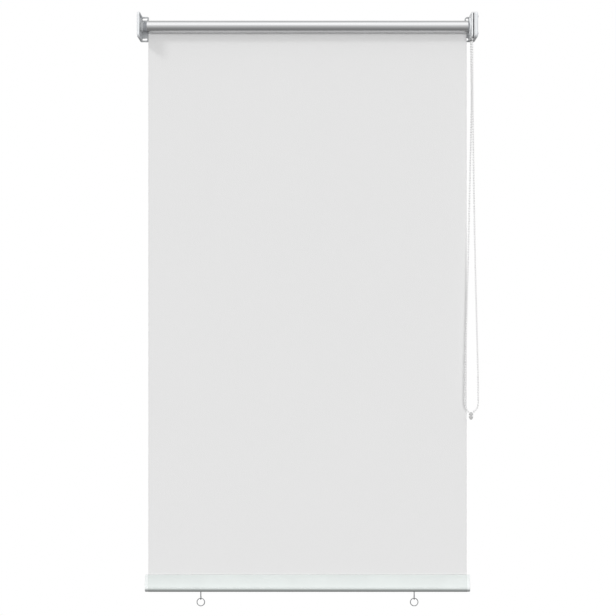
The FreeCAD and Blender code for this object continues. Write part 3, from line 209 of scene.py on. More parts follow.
def satinCoat(name, colour, settings):
    d = surfaceDetail
    made = Shader(
        name, colour, settings["roughness"], Coat_Weight=settings["coat"],
        Coat_Roughness=d["paintCoat"], Coat_IOR=settings.get("coatIndex", d["plainIndex"]),
    )
    cloud = made.noise(settings["cloudScale"], 3.0)
    peel = made.noise(settings["peelScale"], 2.0)
    paint = made.blend(cloud.above(*d["patches"]), shade(colour, settings["dark"]), colour)
    # painted shade: the bracket's wall flange, the part nearest the wall, is darkened to stand in for the
    # shade it lies in between the side plate and the tube
    if "wallShadeFrom" in settings:
        shadedFlange = made.along("Y").above(settings["wallShadeFrom"], d["wallShadeEdge"])
        paint = made.blend(shadedFlange, paint, shade(colour, settings["wallPaintedShade"]))
    # painted shade: below a set height the rail and its caps are darkened to stand in for the shade under
    # the nose
    if "undersideShadeFrom" in settings:
        upper = made.along("Z").above(settings["undersideShadeFrom"], d["undersideShadeEdge"])
        paint = made.blend(upper, shade(colour, settings["undersidePaintedShade"]), paint)
    made.colour(paint)
    made.roughness(settings["roughness"] + d["paintVary"] * (cloud - 0.5))
    made.bump(peel, settings["peelDepth"])
    return made.material


def mouldedPlastic(name, colour, settings):
    d = surfaceDetail
    made = Shader(
        name, colour, settings["roughness"], Coat_Weight=settings["coat"], Coat_Roughness=d["plasticCoat"],
    )
    cloud = made.noise(settings["cloudScale"], 2.0)
    grain = made.noise(settings["grainScale"], 3.0)
    plain = made.blend(cloud, shade(colour, settings["dark"]), colour)
    # painted shade: a narrow band across X at the groove between the two halves of the chain guard is
    # coloured near black to stand in for the shadow in that groove
    if "grooveShadeFrom" in settings:
        across = made.along("X")
        begun = across.above(settings["grooveShadeFrom"], d["grooveShadeEdge"])
        ended = across.above(settings["grooveShadeTo"], d["grooveShadeEdge"])
        plain = made.blend(begun - ended, plain, settings["grooveShadeColour"])
    made.colour(plain)
    made.roughness(settings["roughness"] + d["plasticVary"] * (grain - 0.5))
    made.bump(grain, settings["grainDepth"])
    return made.material


def drawnAluminium(name, settings):
    d = surfaceDetail
    colour = settings["colour"]
    made = Shader(name, colour, settings["roughness"], 1.0)
    lines = made.noise(settings["lineScale"], 4.0, settings["lineStretch"])
    cloud = made.noise(settings["cloudScale"], 2.0)
    made.colour(made.blend(lines.above(*d["drawnLines"]), shade(colour, settings["dark"]), colour))
    made.roughness(settings["roughness"] + d["lineVary"] * (lines - 0.5) + d["drawnVary"] * (cloud - 0.5))
    made.bump(lines, settings["lineDepth"])
    return made.material


def platedSteel(name, colour, settings):
    d = surfaceDetail
    made = Shader(name, colour, settings["roughness"], 1.0)
    cloud = made.noise(settings["cloudScale"], 3.0)
    fine = made.noise(settings["fineScale"], 2.0)
    made.colour(made.blend(cloud.above(*d["patches"]), shade(colour, settings["dark"]), colour))
    made.roughness(settings["roughness"] + d["plateVary"] * (cloud - 0.5))
    made.bump(fine, settings["fineDepth"])
    return made.material


def wovenCloth(name, settings):
    d = surfaceDetail
    colour = settings["colour"]
    made = Shader(
        name, colour, settings["roughness"], Sheen_Weight=settings["sheen"],
        Sheen_Roughness=d["sheenSpread"],
    )
    turns = 2 * math.pi / settings["threadPitch"]
    warp = (made.along("X") * turns).sine()
    weft = (made.along("Z") * turns).sine()
    weave = warp * weft
    slub = made.noise(settings["slubScale"], 2.0, settings["slubStretch"])
    cloud = made.noise(settings["cloudScale"], 3.0)
    selvedge = made.along("X").size().above(settings["halfWidth"] - settings["edge"], settings["edge"])
    plain = made.blend(cloud, shade(colour, settings["cloudDark"]), colour)
    raised = (0.5 + 0.5 * weave) * settings["threadShow"]
    threads = made.blend(raised, plain, shade(colour, settings["threadDark"]))
    made.colour(made.blend(selvedge * settings["edgeShow"], threads, shade(colour, settings["edgeDark"])))
    made.roughness(settings["roughness"] + d["slubVary"] * (slub - 0.5))
    made.bump(weave * 0.5 + slub * 0.5, settings["threadDepth"])
    return made.material


finishes = {
    # the next finish darkens the bracket's wall flange as painted shade
    "bracketCoat": {"roughness": 0.42, "coat": 0.25, "cloudScale": 30.0, "peelScale": 900.0,
                    "peelDepth": 0.00003, "dark": 0.96, "wallShadeFrom": -0.0031, "wallPaintedShade": 0.5},
    # the next two finishes darken the underside of the rail and its caps as painted shade
    "railCoat": {"roughness": 0.3, "coat": 1.0, "coatIndex": 2.1, "cloudScale": 14.0, "peelScale": 1100.0,
                 "peelDepth": 0.00001, "dark": 0.97, "undersideShadeFrom": -1.3354, "undersidePaintedShade": 0.42},
    "capCoat": {"roughness": 0.36, "coat": 0.3, "cloudScale": 30.0, "peelScale": 1300.0,
                "peelDepth": 0.00002, "dark": 0.96, "undersideShadeFrom": -1.3354, "undersidePaintedShade": 0.42},
    # the next finish paints the chain guard's groove near black as painted shade
    "whiteWithGrooveShade": {"roughness": 0.4, "coat": 0.2, "cloudScale": 40.0, "grainScale": 1500.0,
                     "grainDepth": 0.00003, "dark": 0.95, "grooveShadeFrom": 0.3879, "grooveShadeTo": 0.3909,
                     "grooveShadeColour": (0.035, 0.037, 0.04)},
    "mouldedGrey": {"roughness": 0.5, "coat": 0.1, "cloudScale": 60.0, "grainScale": 1300.0,
                    "grainDepth": 0.00004, "dark": 0.9},
    "beadPlastic": {"roughness": 0.3, "coat": 0.4, "cloudScale": 50.0, "grainScale": 2000.0,
                    "grainDepth": 0.00001, "dark": 0.94},
    "tubeMetal": {"colour": (0.6, 0.603, 0.61), "roughness": 0.17, "lineScale": 300.0, "dark": 0.93,
                  "lineStretch": (0.01, 1.0, 1.0), "lineDepth": 0.00001, "cloudScale": 9.0},
    "zincPlate": {"roughness": 0.34, "cloudScale": 160.0, "fineScale": 1500.0, "fineDepth": 0.00003,
                  "dark": 0.82},
    "bentWire": {"roughness": 0.28, "cloudScale": 120.0, "fineScale": 2200.0, "fineDepth": 0.00001,
                 "dark": 0.82},
    "cloth": {"colour": (0.77, 0.77, 0.77), "roughness": 0.85, "sheen": 0.1, "threadPitch": 0.0012,
              "threadDepth": 0.00006, "threadShow": 0.3, "threadDark": 0.9, "slubScale": 500.0,
              "slubStretch": (1.0, 1.0, 0.05),
              "cloudScale": 5.0, "cloudDark": 0.985, "halfWidth": 0.378, "edge": 0.0022, "edgeShow": 0.8,
              "edgeDark": 0.8},
}

bracketCoat = satinCoat("bracketCoat", (0.8, 0.82, 0.84), finishes["bracketCoat"])
railCoat = satinCoat("railCoat", (0.68, 0.725, 0.71), finishes["railCoat"])
guardPlastic = mouldedPlastic("guardPlastic", (0.87, 0.885, 0.9), finishes["whiteWithGrooveShade"])
hubPlastic = mouldedPlastic("hubPlastic", (0.46, 0.47, 0.48), finishes["mouldedGrey"])
plugPlastic = mouldedPlastic("plugPlastic", (0.32, 0.33, 0.35), finishes["mouldedGrey"])
capPlastic = satinCoat("capPlastic", (0.84, 0.87, 0.865), finishes["capCoat"])
rodPlastic = mouldedPlastic("rodPlastic", (0.6, 0.6, 0.6), finishes["mouldedGrey"])
beadPlastic = mouldedPlastic("beadPlastic", (0.83, 0.83, 0.83), finishes["beadPlastic"])
threadFibre = mouldedPlastic("threadFibre", (0.8, 0.8, 0.8), finishes["mouldedGrey"])
linkPlastic = mouldedPlastic("linkPlastic", (0.5, 0.5, 0.5), finishes["beadPlastic"])
tubeMetal = drawnAluminium("tubeMetal", finishes["tubeMetal"])
zincPlate = platedSteel("zincPlate", (0.56, 0.57, 0.58), finishes["zincPlate"])
bentWire = platedSteel("bentWire", (0.36, 0.37, 0.38), finishes["bentWire"])
clothWeave = wovenCloth("clothWeave", finishes["cloth"])

nodeFinish = {
    "left_bracket": bracketCoat, "right_bracket": bracketCoat, "idle_hub": hubPlastic,
    "idle_hub_rivets": zincPlate, "clutch_core": plugPlastic, "core_screw": zincPlate,
    "core_washer": zincPlate, "core_clip": zincPlate, "chain_guard_inner": guardPlastic,
    "chain_guard_outer": guardPlastic, "guard_screws": zincPlate, "chain_on_wheel": beadPlastic,
    "chain_front_strand": beadPlastic, "chain_back_strand": beadPlastic,
    "chain_connector_upper": linkPlastic, "chain_connector_lower": linkPlastic,
    "blind_fabric": clothWeave, "roller_tube": tubeMetal, "idle_end_plug": plugPlastic,
    "idle_pin_spring": zincPlate, "drive_end_plug": plugPlastic, "chain_wheel": plugPlastic,
    "clutch_springs": zincPlate, "cloth_upper_rod": rodPlastic, "fabric_wrap": clothWeave,
    "idle_pin": zincPlate, "bottom_rail": railCoat, "fabric_hem": clothWeave, "hem_rod": rodPlastic,
    "rail_cap_left": capPlastic, "rail_cap_right": capPlastic, "eye_screw_left": bentWire,
    "eye_screw_right": bentWire, "eye_nuts": zincPlate, "ring_left": bentWire, "ring_right": bentWire,
}


def giveFinish(materials, finish):
    for number in range(len(materials)):
        materials[number] = finish
    if len(materials) == 0:
        materials.append(finish)


for name, finish in nodeFinish.items():
    giveFinish(nodes[name].data.materials, finish)
print("finishes made and given to the frame")


# geometry helpers

sharpAngle = math.radians(35)


def asPiece(name, mesh, finish, smooth=True):
    made = linked(name, mesh)
    mesh.materials.clear()
    mesh.materials.append(finish)
    if smooth:
        mesh.polygons.foreach_set("use_smooth", [True] * len(mesh.polygons))
        mesh.set_sharp_from_angle(angle=sharpAngle)
    return made


def plainMesh(source, name, finish):
    # the evaluated object as a mesh of its own, with the source left out of the scene
    bpy.context.view_layer.update()
    evaluated = source.evaluated_get(bpy.context.evaluated_depsgraph_get())
    mesh = bpy.data.meshes.new_from_object(evaluated)
    mesh.transform(source.matrix_world)
    source.modifiers.clear()
    bpy.data.objects.remove(source)
    return asPiece(name, mesh, finish)


def meshOf(name, made):
    mesh = bpy.data.meshes.new(name)
    made.to_mesh(mesh)
    made.free()
    return mesh


def grownTree(name, inputs):
    tree = bpy.data.node_groups.new(name, "GeometryNodeTree")
    tree.interface.new_socket("Geometry", in_out="INPUT", socket_type="NodeSocketGeometry")
    for label, kind in inputs:
        tree.interface.new_socket(label, in_out="INPUT", socket_type=kind)
    tree.interface.new_socket("Geometry", in_out="OUTPUT", socket_type="NodeSocketGeometry")
    return tree


def treeNode(tree, kind, settings=None, sockets=None):
    made = tree.nodes.new(kind)
    for key, value in (settings or {}).items():
        setattr(made, key, value)
    for key, value in (sockets or {}).items():
        if isinstance(value, bpy.types.NodeSocket):
            tree.links.new(value, made.inputs[key])
        else:
            made.inputs[key].default_value = value
    return made


def runTree(source, tree, values):
    modifier = source.modifiers.new(tree.name, "NODES")
    modifier.node_group = tree
    for item in tree.interface.items_tree:
        if item.in_out == "INPUT" and item.name in values:
            modifier[item.identifier] = values[item.name]


# bead chain: two hanging strands, each a thread with beads along it

strands = {
    "threadWidth": 0.0014,
    "beadRadius": 0.00225,
    "stretch": 0.96,
    "pitch": 0.006,
    "start": -0.008,
    "axisY": -0.035,
    "wheelX": 0.3885,
    "pitchRadius": 0.015378,
    "linkX": 0.387,
    "linkEntry": 0.0029,
    "linkTop": -0.9119,
    "front": [
        (0.3885, -0.05045, -0.045), (0.38875, -0.05, -0.1), (0.3892, -0.0492, -0.155),
        (0.3899, -0.0482, -0.215), (0.39075, -0.04705, -0.275), (0.39175, -0.0458, -0.335),
        (0.3928, -0.0445, -0.395), (0.39395, -0.0431, -0.455), (0.3952, -0.04175, -0.515),
        (0.3966, -0.0404, -0.575), (0.3982, -0.0392, -0.635), (0.3999, -0.038, -0.695),
        (0.4016, -0.03695, -0.755), (0.403, -0.0361, -0.81), (0.40385, -0.0355, -0.855),
        (0.4041, -0.03515, -0.885), (0.4033, -0.035, -0.9), (0.3963, -0.035, -0.9084),
    ],
    "back": [
        (0.3885, -0.01965, -0.045), (0.3887, -0.0234, -0.095), (0.3887, -0.028, -0.145),
        (0.38855, -0.031, -0.19), (0.38745, -0.0317, -0.24), (0.38615, -0.0322, -0.295),
        (0.38485, -0.03265, -0.35), (0.3835, -0.0331, -0.41), (0.3821, -0.0335, -0.47),
        (0.38068, -0.03385, -0.53), (0.37923, -0.03415, -0.59), (0.37773, -0.0344, -0.65),
        (0.37618, -0.0346, -0.71), (0.3748, -0.03475, -0.765), (0.3737, -0.03485, -0.81),
        (0.37295, -0.03492, -0.85), (0.3726, -0.03497, -0.88), (0.3729, -0.035, -0.899),
        (0.3777, -0.035, -0.9084),
    ],
}


def routeCurve(name, points, bevel=0.0):
    data = bpy.data.curves.new(name, "CURVE")
    data.dimensions = "3D"
    data.resolution_u = 8
    spline = data.splines.new("NURBS")
    spline.points.add(len(points) - 1)
    for point, place in zip(spline.points, points):
        point.co = (*place, 1.0)
    spline.order_u = 3
    spline.use_endpoint_u = True
    data.bevel_depth = bevel
    data.bevel_resolution = 2
    data.use_fill_caps = True
    return linked(name, data)


def routeMesh(name, points):
    # the points of the route's spline, joined by edges
    bare = routeCurve(name, points)
    bpy.context.view_layer.update()
    mesh = bpy.data.meshes.new_from_object(bare.evaluated_get(bpy.context.evaluated_depsgraph_get()))
    bpy.data.objects.remove(bare)
    return mesh


def beadTree():
    tree = grownTree("beadsAlongThread", [
        ("Pitch", "NodeSocketFloat"), ("Bead radius", "NodeSocketFloat"),
        ("Stretch", "NodeSocketFloat"), ("Finish", "NodeSocketMaterial"),
    ])
    entry = treeNode(tree, "NodeGroupInput").outputs
    route = treeNode(tree, "GeometryNodeMeshToCurve", None, {"Mesh": entry["Geometry"]})
    line = treeNode(tree, "GeometryNodeResampleCurve", {"mode": "LENGTH"}, {
        "Curve": route.outputs["Curve"], "Length": entry["Pitch"],
    })
    bead = treeNode(tree, "GeometryNodeMeshUVSphere", None, {
        "Segments": 10, "Rings": 6, "Radius": entry["Bead radius"],
    })
    tangent = treeNode(tree, "GeometryNodeInputTangent")
    turn = treeNode(tree, "FunctionNodeAlignRotationToVector", {"axis": "Z"}, {
        "Vector": tangent.outputs["Tangent"],
    })
    size = treeNode(tree, "ShaderNodeCombineXYZ", None, {"X": 1.0, "Y": 1.0, "Z": entry["Stretch"]})
    copies = treeNode(tree, "GeometryNodeInstanceOnPoints", None, {
        "Points": line.outputs["Curve"], "Instance": bead.outputs["Mesh"],
        "Rotation": turn.outputs["Rotation"], "Scale": size.outputs["Vector"],
    })
    real = treeNode(tree, "GeometryNodeRealizeInstances", None, {"Geometry": copies.outputs["Instances"]})
    painted = treeNode(tree, "GeometryNodeSetMaterial", None, {
        "Geometry": real.outputs["Geometry"], "Material": entry["Finish"],
    })
    treeNode(tree, "NodeGroupOutput", None, {"Geometry": painted.outputs["Geometry"]})
    return tree


beadsAlong = beadTree()


def makeStrand(name, side, bends, node):
    s = strands
    points = [
        (s["wheelX"], s["axisY"] + side * s["pitchRadius"], s["start"]), *bends,
        (s["linkX"] - side * s["linkEntry"], s["axisY"], s["linkTop"] - s["linkEntry"]),
    ]
    thread = routeCurve(f"{name}Thread", points, s["threadWidth"] / 2)
    thread.data.materials.append(threadFibre)
    line = routeMesh(f"{name}Line", points)
    source = linked(f"{name}Line", line)
    runTree(source, beadsAlong, {
        "Pitch": s["pitch"], "Bead radius": s["beadRadius"], "Stretch": s["stretch"], "Finish": beadPlastic,
    })
    beads = plainMesh(source, f"{name}Beads", beadPlastic)
    for piece in (thread, beads):
        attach(piece, "brackets")
    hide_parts(node)


makeStrand("frontStrand", -1, strands["front"], "chain_front_strand")
makeStrand("backStrand", 1, strands["back"], "chain_back_strand")
print("bead chain made")


# connector of the chain: an upper half with sloping shoulders and a lower half with its stem

connector = {
    "x": 0.387,
    "y": -0.035,
    "depth": 0.0035,
    "round": 0.0011,
    "cornerSteps": 4,
    "upper": [
        (-0.9197, 0.0042), (-0.9194, 0.0046), (-0.9188, 0.0047), (-0.9164, 0.0047), (-0.9158, 0.0044),
        (-0.9126, 0.0019), (-0.9121, 0.0015), (-0.9119, 0.0009),
    ],
    "lower": [
        (-0.9294, 0.0018), (-0.9292, 0.0023), (-0.9287, 0.0026), (-0.9242, 0.0046), (-0.9236, 0.0047),
        (-0.9223, 0.0047), (-0.922, 0.0045), (-0.9218, 0.0041),
    ],
    "thinning": 0.35,
    "roundShare": 0.6,
    "stem": 0.0012,
    "stemRound": 0.9,
    "stemTop": -0.91965,
}


def extruded(name, loops, finish):
    # closed body through loops of the same count, each a list of (x, y, z)
    made = bmesh.new()
    rows = [[made.verts.new(place) for place in loop] for loop in loops]
    count = len(rows[0])
    for near, far in zip(rows, rows[1:]):
        for i in range(count):
            j = (i + 1) % count
            made.faces.new((near[i], near[j], far[j], far[i]))
    made.faces.new(rows[0])
    made.faces.new(list(reversed(rows[-1])))
    bmesh.ops.recalc_face_normals(made, faces=made.faces)
    return asPiece(name, meshOf(name, made), finish)


def roundedLoop(z, halfX, halfY, radius):
    c = connector
    places = []
    for quarter, (alongX, alongY) in enumerate(((1, 1), (-1, 1), (-1, -1), (1, -1))):
        for i in range(c["cornerSteps"] + 1):
            angle = math.radians(90 * (quarter + i / c["cornerSteps"]))
            places.append((
                c["x"] + alongX * (halfX - radius) + radius * math.cos(angle),
                c["y"] + alongY * (halfY - radius) + radius * math.sin(angle), z,
            ))
    return places


def makeConnector():
    c = connector
    for word in ("upper", "lower"):
        widest = max(half for _, half in c[word])
        loops = []
        for z, half in c[word]:
            depth = c["depth"] * (1 - c["thinning"] * (1 - half / widest))
            loops.append(roundedLoop(z, half, depth, min(c["round"], half * c["roundShare"])))
        if word == "lower":
            for z in (loops[-1][0][2], c["stemTop"]):
                loops.append(roundedLoop(z, c["stem"], c["stem"], c["stem"] * c["stemRound"]))
        piece = extruded(f"{word}Connector", loops, linkPlastic)
        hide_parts(f"chain_connector_{word}")
        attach(piece, "brackets")


makeConnector()
print("connector made")


# cloth: a hanging sheet, its wrap on the tube and its hem in the rail

clothSheet = {
    "width": 0.756,
    "drop": 1.299,
    "gauge": 0.0004,
    "y": -0.0208,
    "columns": 84,
    "rows": 144,
    "seam": 0.0002,
    "ripple": 0.00018,
    "rippleAcross": 7.0,
    "rippleLean": 1.3,
    "rippleStart": 0.6,
    "rippleDown": 5.0,
    "travel": 1.2366,
}


def ribbon(name, profile, width, gauge, columns, finish):
    # a strip of cloth along X whose section is the profile, a list of (y, z)
    made = bmesh.new()
    rows = []
    for y, z in profile:
        rows.append([made.verts.new((width * (i / columns - 0.5), y, z)) for i in range(columns + 1)])
    for upper, lower in zip(rows, rows[1:]):
        for i in range(columns):
            made.faces.new((upper[i], lower[i], lower[i + 1], upper[i + 1]))
    source = linked(f"{name}Source", meshOf(name, made))
    wall = source.modifiers.new("wall", "SOLIDIFY")
    wall.thickness = gauge
    wall.offset = 0
    return plainMesh(source, name, finish)


def hangingCloth():
    c = clothSheet
    reach = c["drop"] - c["seam"]
    profile = [(c["y"], -reach * i / c["rows"]) for i in range(c["rows"] + 1)]
    piece = ribbon("hangingCloth", profile, c["width"], c["gauge"], c["columns"], clothWeave)
    for vertex in piece.data.vertices:
        x, _, z = vertex.co
        fade = math.sin(math.pi * min(1.0, max(0.0, -z / c["drop"])))
        wave = math.sin(c["rippleAcross"] * x + c["rippleLean"] * z + c["rippleStart"])
        vertex.co.y += c["ripple"] * fade * wave * math.cos(c["rippleDown"] * z)
    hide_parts("blind_fabric")
    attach(piece, "brackets")
    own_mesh(piece)


hangingCloth()

wrapCloth = {"radius": 0.0142, "turn": 60, "steps": 14, "tail": 0.0013, "columns": 60}
hemCloth = {"radius": 0.00185, "middle": -1.307, "top": -1.299, "turn": 350, "steps": 28, "columns": 60}


def clothWrap():
    w = wrapCloth
    axisY = strands["axisY"]
    profile = []
    for i in range(w["steps"] + 1):
        angle = math.radians(w["turn"]) * i / w["steps"]
        profile.append((axisY + w["radius"] * math.cos(angle), w["radius"] * math.sin(angle)))
    angle = math.radians(w["turn"])
    inner = w["radius"] - w["tail"]
    profile.append((axisY + inner * math.cos(angle), inner * math.sin(angle)))
    piece = ribbon(
        "clothWrap", profile, clothSheet["width"], clothSheet["gauge"], w["columns"], clothWeave,
    )
    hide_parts("fabric_wrap")
    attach(piece, "roller")


def clothHem():
    h = hemCloth
    y = clothSheet["y"]
    profile = [(y, h["top"])]
    for i in range(h["steps"] + 1):
        angle = math.radians(90 - h["turn"] * i / h["steps"])
        profile.append((y + h["radius"] * math.cos(angle), h["middle"] + h["radius"] * math.sin(angle)))
    piece = ribbon("clothHem", profile, clothSheet["width"], clothSheet["gauge"], h["columns"], clothWeave)
    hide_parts("fabric_hem")
    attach(piece, "hem_bar")


clothWrap()
clothHem()
print("cloth made")


# bottom rail: drop-shaped skin with hollow flanks, slot for the cloth on top, and its two caps

railSkin = {
    "half": 0.379,
    "top": -1.299,
    "height": 0.041,
    "noseAcross": 0.0075,
    "noseDown": 0.0098,
    "joinTurn": 24.7,
    "flankSteps": 20,
    "noseSteps": 22,
    "slot": 0.0006,
    "slotDepth": 0.003,
    "edge": 0.0004,
    "capLength": 0.007,
    "capGap": 0.00005,
    "capSteps": [(0.0016, 0.985), (0.0007, 0.97), (0.0002, 0.93), (0.0, 0.87)],
}


def railHalf():
    # half of the section from the top edge down to the nose, as (reach from the middle, depth)
    r = railSkin
    middle = r["height"] - r["noseDown"]
    turn = math.radians(r["joinTurn"])
    joinDepth = middle - r["noseDown"] * math.sin(turn)
    joinReach = r["noseAcross"] * math.cos(turn)
    lean = math.atan(r["noseAcross"] / r["noseDown"] * math.tan(turn))
    radius = joinDepth / math.sin(lean)
    start = joinReach - radius * (1 - math.cos(lean))
    points = [(start - r["edge"], 0.0), (start - r["edge"] * 0.3, r["edge"] * 0.3)]
    for i in range(1, r["flankSteps"] + 1):
        depth = joinDepth * i / r["flankSteps"]
        points.append((start + radius - math.sqrt(radius * radius - depth * depth), depth))
    for i in range(1, r["noseSteps"] + 1):
        angle = turn - (turn + math.pi / 2) * i / r["noseSteps"]
        points.append((r["noseAcross"] * math.cos(angle), middle - r["noseDown"] * math.sin(angle)))
    return points


def railLoop(x, share=1.0, slotted=False):
    r = railSkin
    y = clothSheet["y"]
    half = railHalf()
    right = [(reach * share, depth) for reach, depth in half]
    left = [(-reach, depth) for reach, depth in reversed(right[:-1])]
    section = right + left
    if slotted:
        half = r["slot"]
        deep = r["slotDepth"]
        section += [(-half, 0.0), (-half, deep), (half, deep), (half, 0.0)]
    middle = r["height"] / 2
    return [(x, y + reach, r["top"] - middle - (depth - middle) * share) for reach, depth in section]


def makeRail():
    r = railSkin
    stations = [-r["half"], -r["half"] * 0.5, 0.0, r["half"] * 0.5, r["half"]]
    rail = extruded("railSkin", [railLoop(x, slotted=True) for x in stations], railCoat)
    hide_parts("bottom_rail")
    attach(rail, "hem_bar")
    for side, word in ((-1, "left"), (1, "right")):
        near = r["half"] + r["capGap"]
        far = r["half"] + r["capLength"]
        steps = [(near, r["capSteps"][0][1])]
        steps += [(far - back, share) for back, share in r["capSteps"]]
        cap = extruded(f"{word}Cap", [railLoop(side * x, share) for x, share in steps], capPlastic)
        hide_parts(f"rail_cap_{word}")
        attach(cap, "hem_bar")


makeRail()
print("bottom rail made")


# screws and rivets: one of each, copied to its places by nodes

panScrew = {
    "head": 0.0029, "height": 0.0015, "shank": 0.0015, "length": 0.0135, "cross": 0.0017,
    "arm": 0.00042, "depth": 0.0009, "pitch": 0.0008, "thread": 0.00022,
}
coreScrew = {
    "head": 0.0046, "height": 0.0019, "shank": 0.0025, "length": 0.016, "cross": 0.0026,
    "arm": 0.0006, "depth": 0.0013, "pitch": 0.001, "thread": 0.0003,
}
hubRivet = {"head": 0.0029, "height": 0.0012, "shank": 0.0016, "length": 0.0075}
turned = {
    "sides": 28,
    "domeBase": 0.35,
    "domeRise": 0.65,
    "domeAngles": (0, 18, 36, 54, 70),
    "tipAcross": 0.55,
    "tipLength": 0.6,
    "recessAbove": 0.0005,
    "recessLow": 0.45,
    "recessTop": 1.1,
    "armBase": 0.7,
    "armTaper": 0.3,
}
fastenerPlaces = {
    "guardX": 0.4,
    "guardAcross": 0.026,
    "guardUp": 0.02,
    "coreX": 0.401,
    "hubX": -0.4,
    "hubUp": 0.0072,
    "twist": 0.7,
}


def lathed(profile):
    # a closed turned mesh round Z from a list of (radius, height), first and last on the axis
    made = bmesh.new()
    sides = turned["sides"]
    rings = []
    for radius, height in profile:
        if radius < 1e-6:
            rings.append([made.verts.new((0, 0, height))])
        else:
            angles = [2 * math.pi * i / sides for i in range(sides)]
            rings.append([
                made.verts.new((radius * math.cos(angle), radius * math.sin(angle), height))
                for angle in angles
            ])
    for lower, upper in zip(rings, rings[1:]):
        for i in range(sides):
            j = (i + 1) % sides
            if len(lower) == 1:
                made.faces.new((lower[0], upper[j], upper[i]))
            elif len(upper) == 1:
                made.faces.new((lower[i], lower[j], upper[0]))
            else:
                made.faces.new((lower[i], lower[j], upper[j], upper[i]))
    bmesh.ops.recalc_face_normals(made, faces=made.faces)
    return made


def crossTool(settings):
    # the tool that leaves the recess: two crossed tapering bars
    made = bmesh.new()
    t = turned
    half = settings["cross"]
    arm = settings["arm"]
    top = settings["height"] + t["recessAbove"]
    low = settings["height"] - settings["depth"]
    for turn in (0, 90):
        corners = []
        for z, share in ((low, t["recessLow"]), (top, t["recessTop"])):
            for x, y in ((-half, -arm), (half, -arm), (half, arm), (-half, arm)):
                wide = y * (t["armBase"] + t["armTaper"] * share)
                corners.append(made.verts.new((x * share, wide, z)))
        for quad in ((3, 2, 1, 0), (4, 5, 6, 7), (0, 1, 5, 4), (1, 2, 6, 5), (2, 3, 7, 6), (3, 0, 4, 7)):
            made.faces.new([corners[i] for i in quad])
        about = Matrix.Rotation(math.radians(turn), 3, "Z")
        bmesh.ops.rotate(made, verts=corners, cent=(0, 0, 0), matrix=about)
    bmesh.ops.recalc_face_normals(made, faces=made.faces)
    return made


def headProfile(settings):
    head = settings["head"]
    height = settings["height"]
    points = [(head, 0.0)]
    for degrees in turned["domeAngles"]:
        angle = math.radians(degrees)
        rise = turned["domeBase"] + turned["domeRise"] * math.sin(angle)
        points.append((head * math.cos(angle), height * rise))
    points.append((0.0, height))
    return points


def shankProfile(settings):
    shank = settings["shank"]
    length = settings["length"]
    at = -length + shank * turned["tipLength"]
    points = [(0.0, -length), (shank * turned["tipAcross"], -length), (shank, at)]
    if "pitch" in settings:
        while at < -settings["pitch"] * 2:
            points.append((shank - settings["thread"], at + settings["pitch"] / 2))
            points.append((shank, at + settings["pitch"]))
            at += settings["pitch"]
    points.append((shank, 0.0))
    return points


def fastener(name, settings):
    made = lathed([*shankProfile(settings), *headProfile(settings)])
    whole = linked(name, meshOf(name, made))
    if "cross" in settings:
        cutter = linked(f"{name}Tool", meshOf(f"{name}Tool", crossTool(settings)))
        cut = whole.modifiers.new("recess", "BOOLEAN")
        cut.operation = "DIFFERENCE"
        cut.solver = "EXACT"
        cut.use_self = True
        cut.object = cutter
        piece = plainMesh(whole, f"{name}Cut", zincPlate)
        bpy.data.objects.remove(cutter)
        return piece
    return plainMesh(whole, f"{name}Plain", zincPlate)


def copyTree():
    tree = grownTree("fastenersAtPoints", [
        ("Fastener", "NodeSocketObject"), ("Tilt", "NodeSocketFloat"),
        ("Spread", "NodeSocketFloat"), ("Finish", "NodeSocketMaterial"),
    ])
    entry = treeNode(tree, "NodeGroupInput").outputs
    info = treeNode(tree, "GeometryNodeObjectInfo", None, {"Object": entry["Fastener"]})
    low = treeNode(tree, "ShaderNodeMath", {"operation": "MULTIPLY"}, {0: entry["Spread"], 1: -1.0})
    chance = treeNode(tree, "FunctionNodeRandomValue", {"data_type": "FLOAT"}, {
        "Min": low.outputs[0], "Max": entry["Spread"], "Seed": 7,
    })
    twist = treeNode(tree, "ShaderNodeCombineXYZ", None, {"Z": chance.outputs["Value"]})
    lean = treeNode(tree, "ShaderNodeCombineXYZ", None, {"Y": entry["Tilt"]})
    first = treeNode(tree, "FunctionNodeEulerToRotation", None, {"Euler": twist.outputs[0]})
    second = treeNode(tree, "FunctionNodeEulerToRotation", None, {"Euler": lean.outputs[0]})
    turn = treeNode(tree, "FunctionNodeRotateRotation", {"rotation_space": "GLOBAL"}, {
        "Rotation": first.outputs[0], "Rotate By": second.outputs[0],
    })
    copies = treeNode(tree, "GeometryNodeInstanceOnPoints", None, {
        "Points": entry["Geometry"], "Instance": info.outputs["Geometry"],
        "Rotation": turn.outputs["Rotation"],
    })
    real = treeNode(tree, "GeometryNodeRealizeInstances", None, {"Geometry": copies.outputs["Instances"]})
    painted = treeNode(tree, "GeometryNodeSetMaterial", None, {
        "Geometry": real.outputs["Geometry"], "Material": entry["Finish"],
    })
    treeNode(tree, "NodeGroupOutput", None, {"Geometry": painted.outputs["Geometry"]})
    return tree


copiedTo = copyTree()


def placeFasteners(name, settings, places, towards, node):
    one = fastener(f"{name}One", settings)
    mesh = bpy.data.meshes.new(f"{name}Places")
    mesh.from_pydata(places, [], [])
    source = linked(f"{name}Places", mesh)
    runTree(source, copiedTo, {
        "Fastener": one, "Tilt": math.radians(90 * towards), "Spread": fastenerPlaces["twist"],
        "Finish": zincPlate,
    })
    piece = plainMesh(source, name, zincPlate)
    bpy.data.objects.remove(one)
    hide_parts(node)
    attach(piece, "brackets")


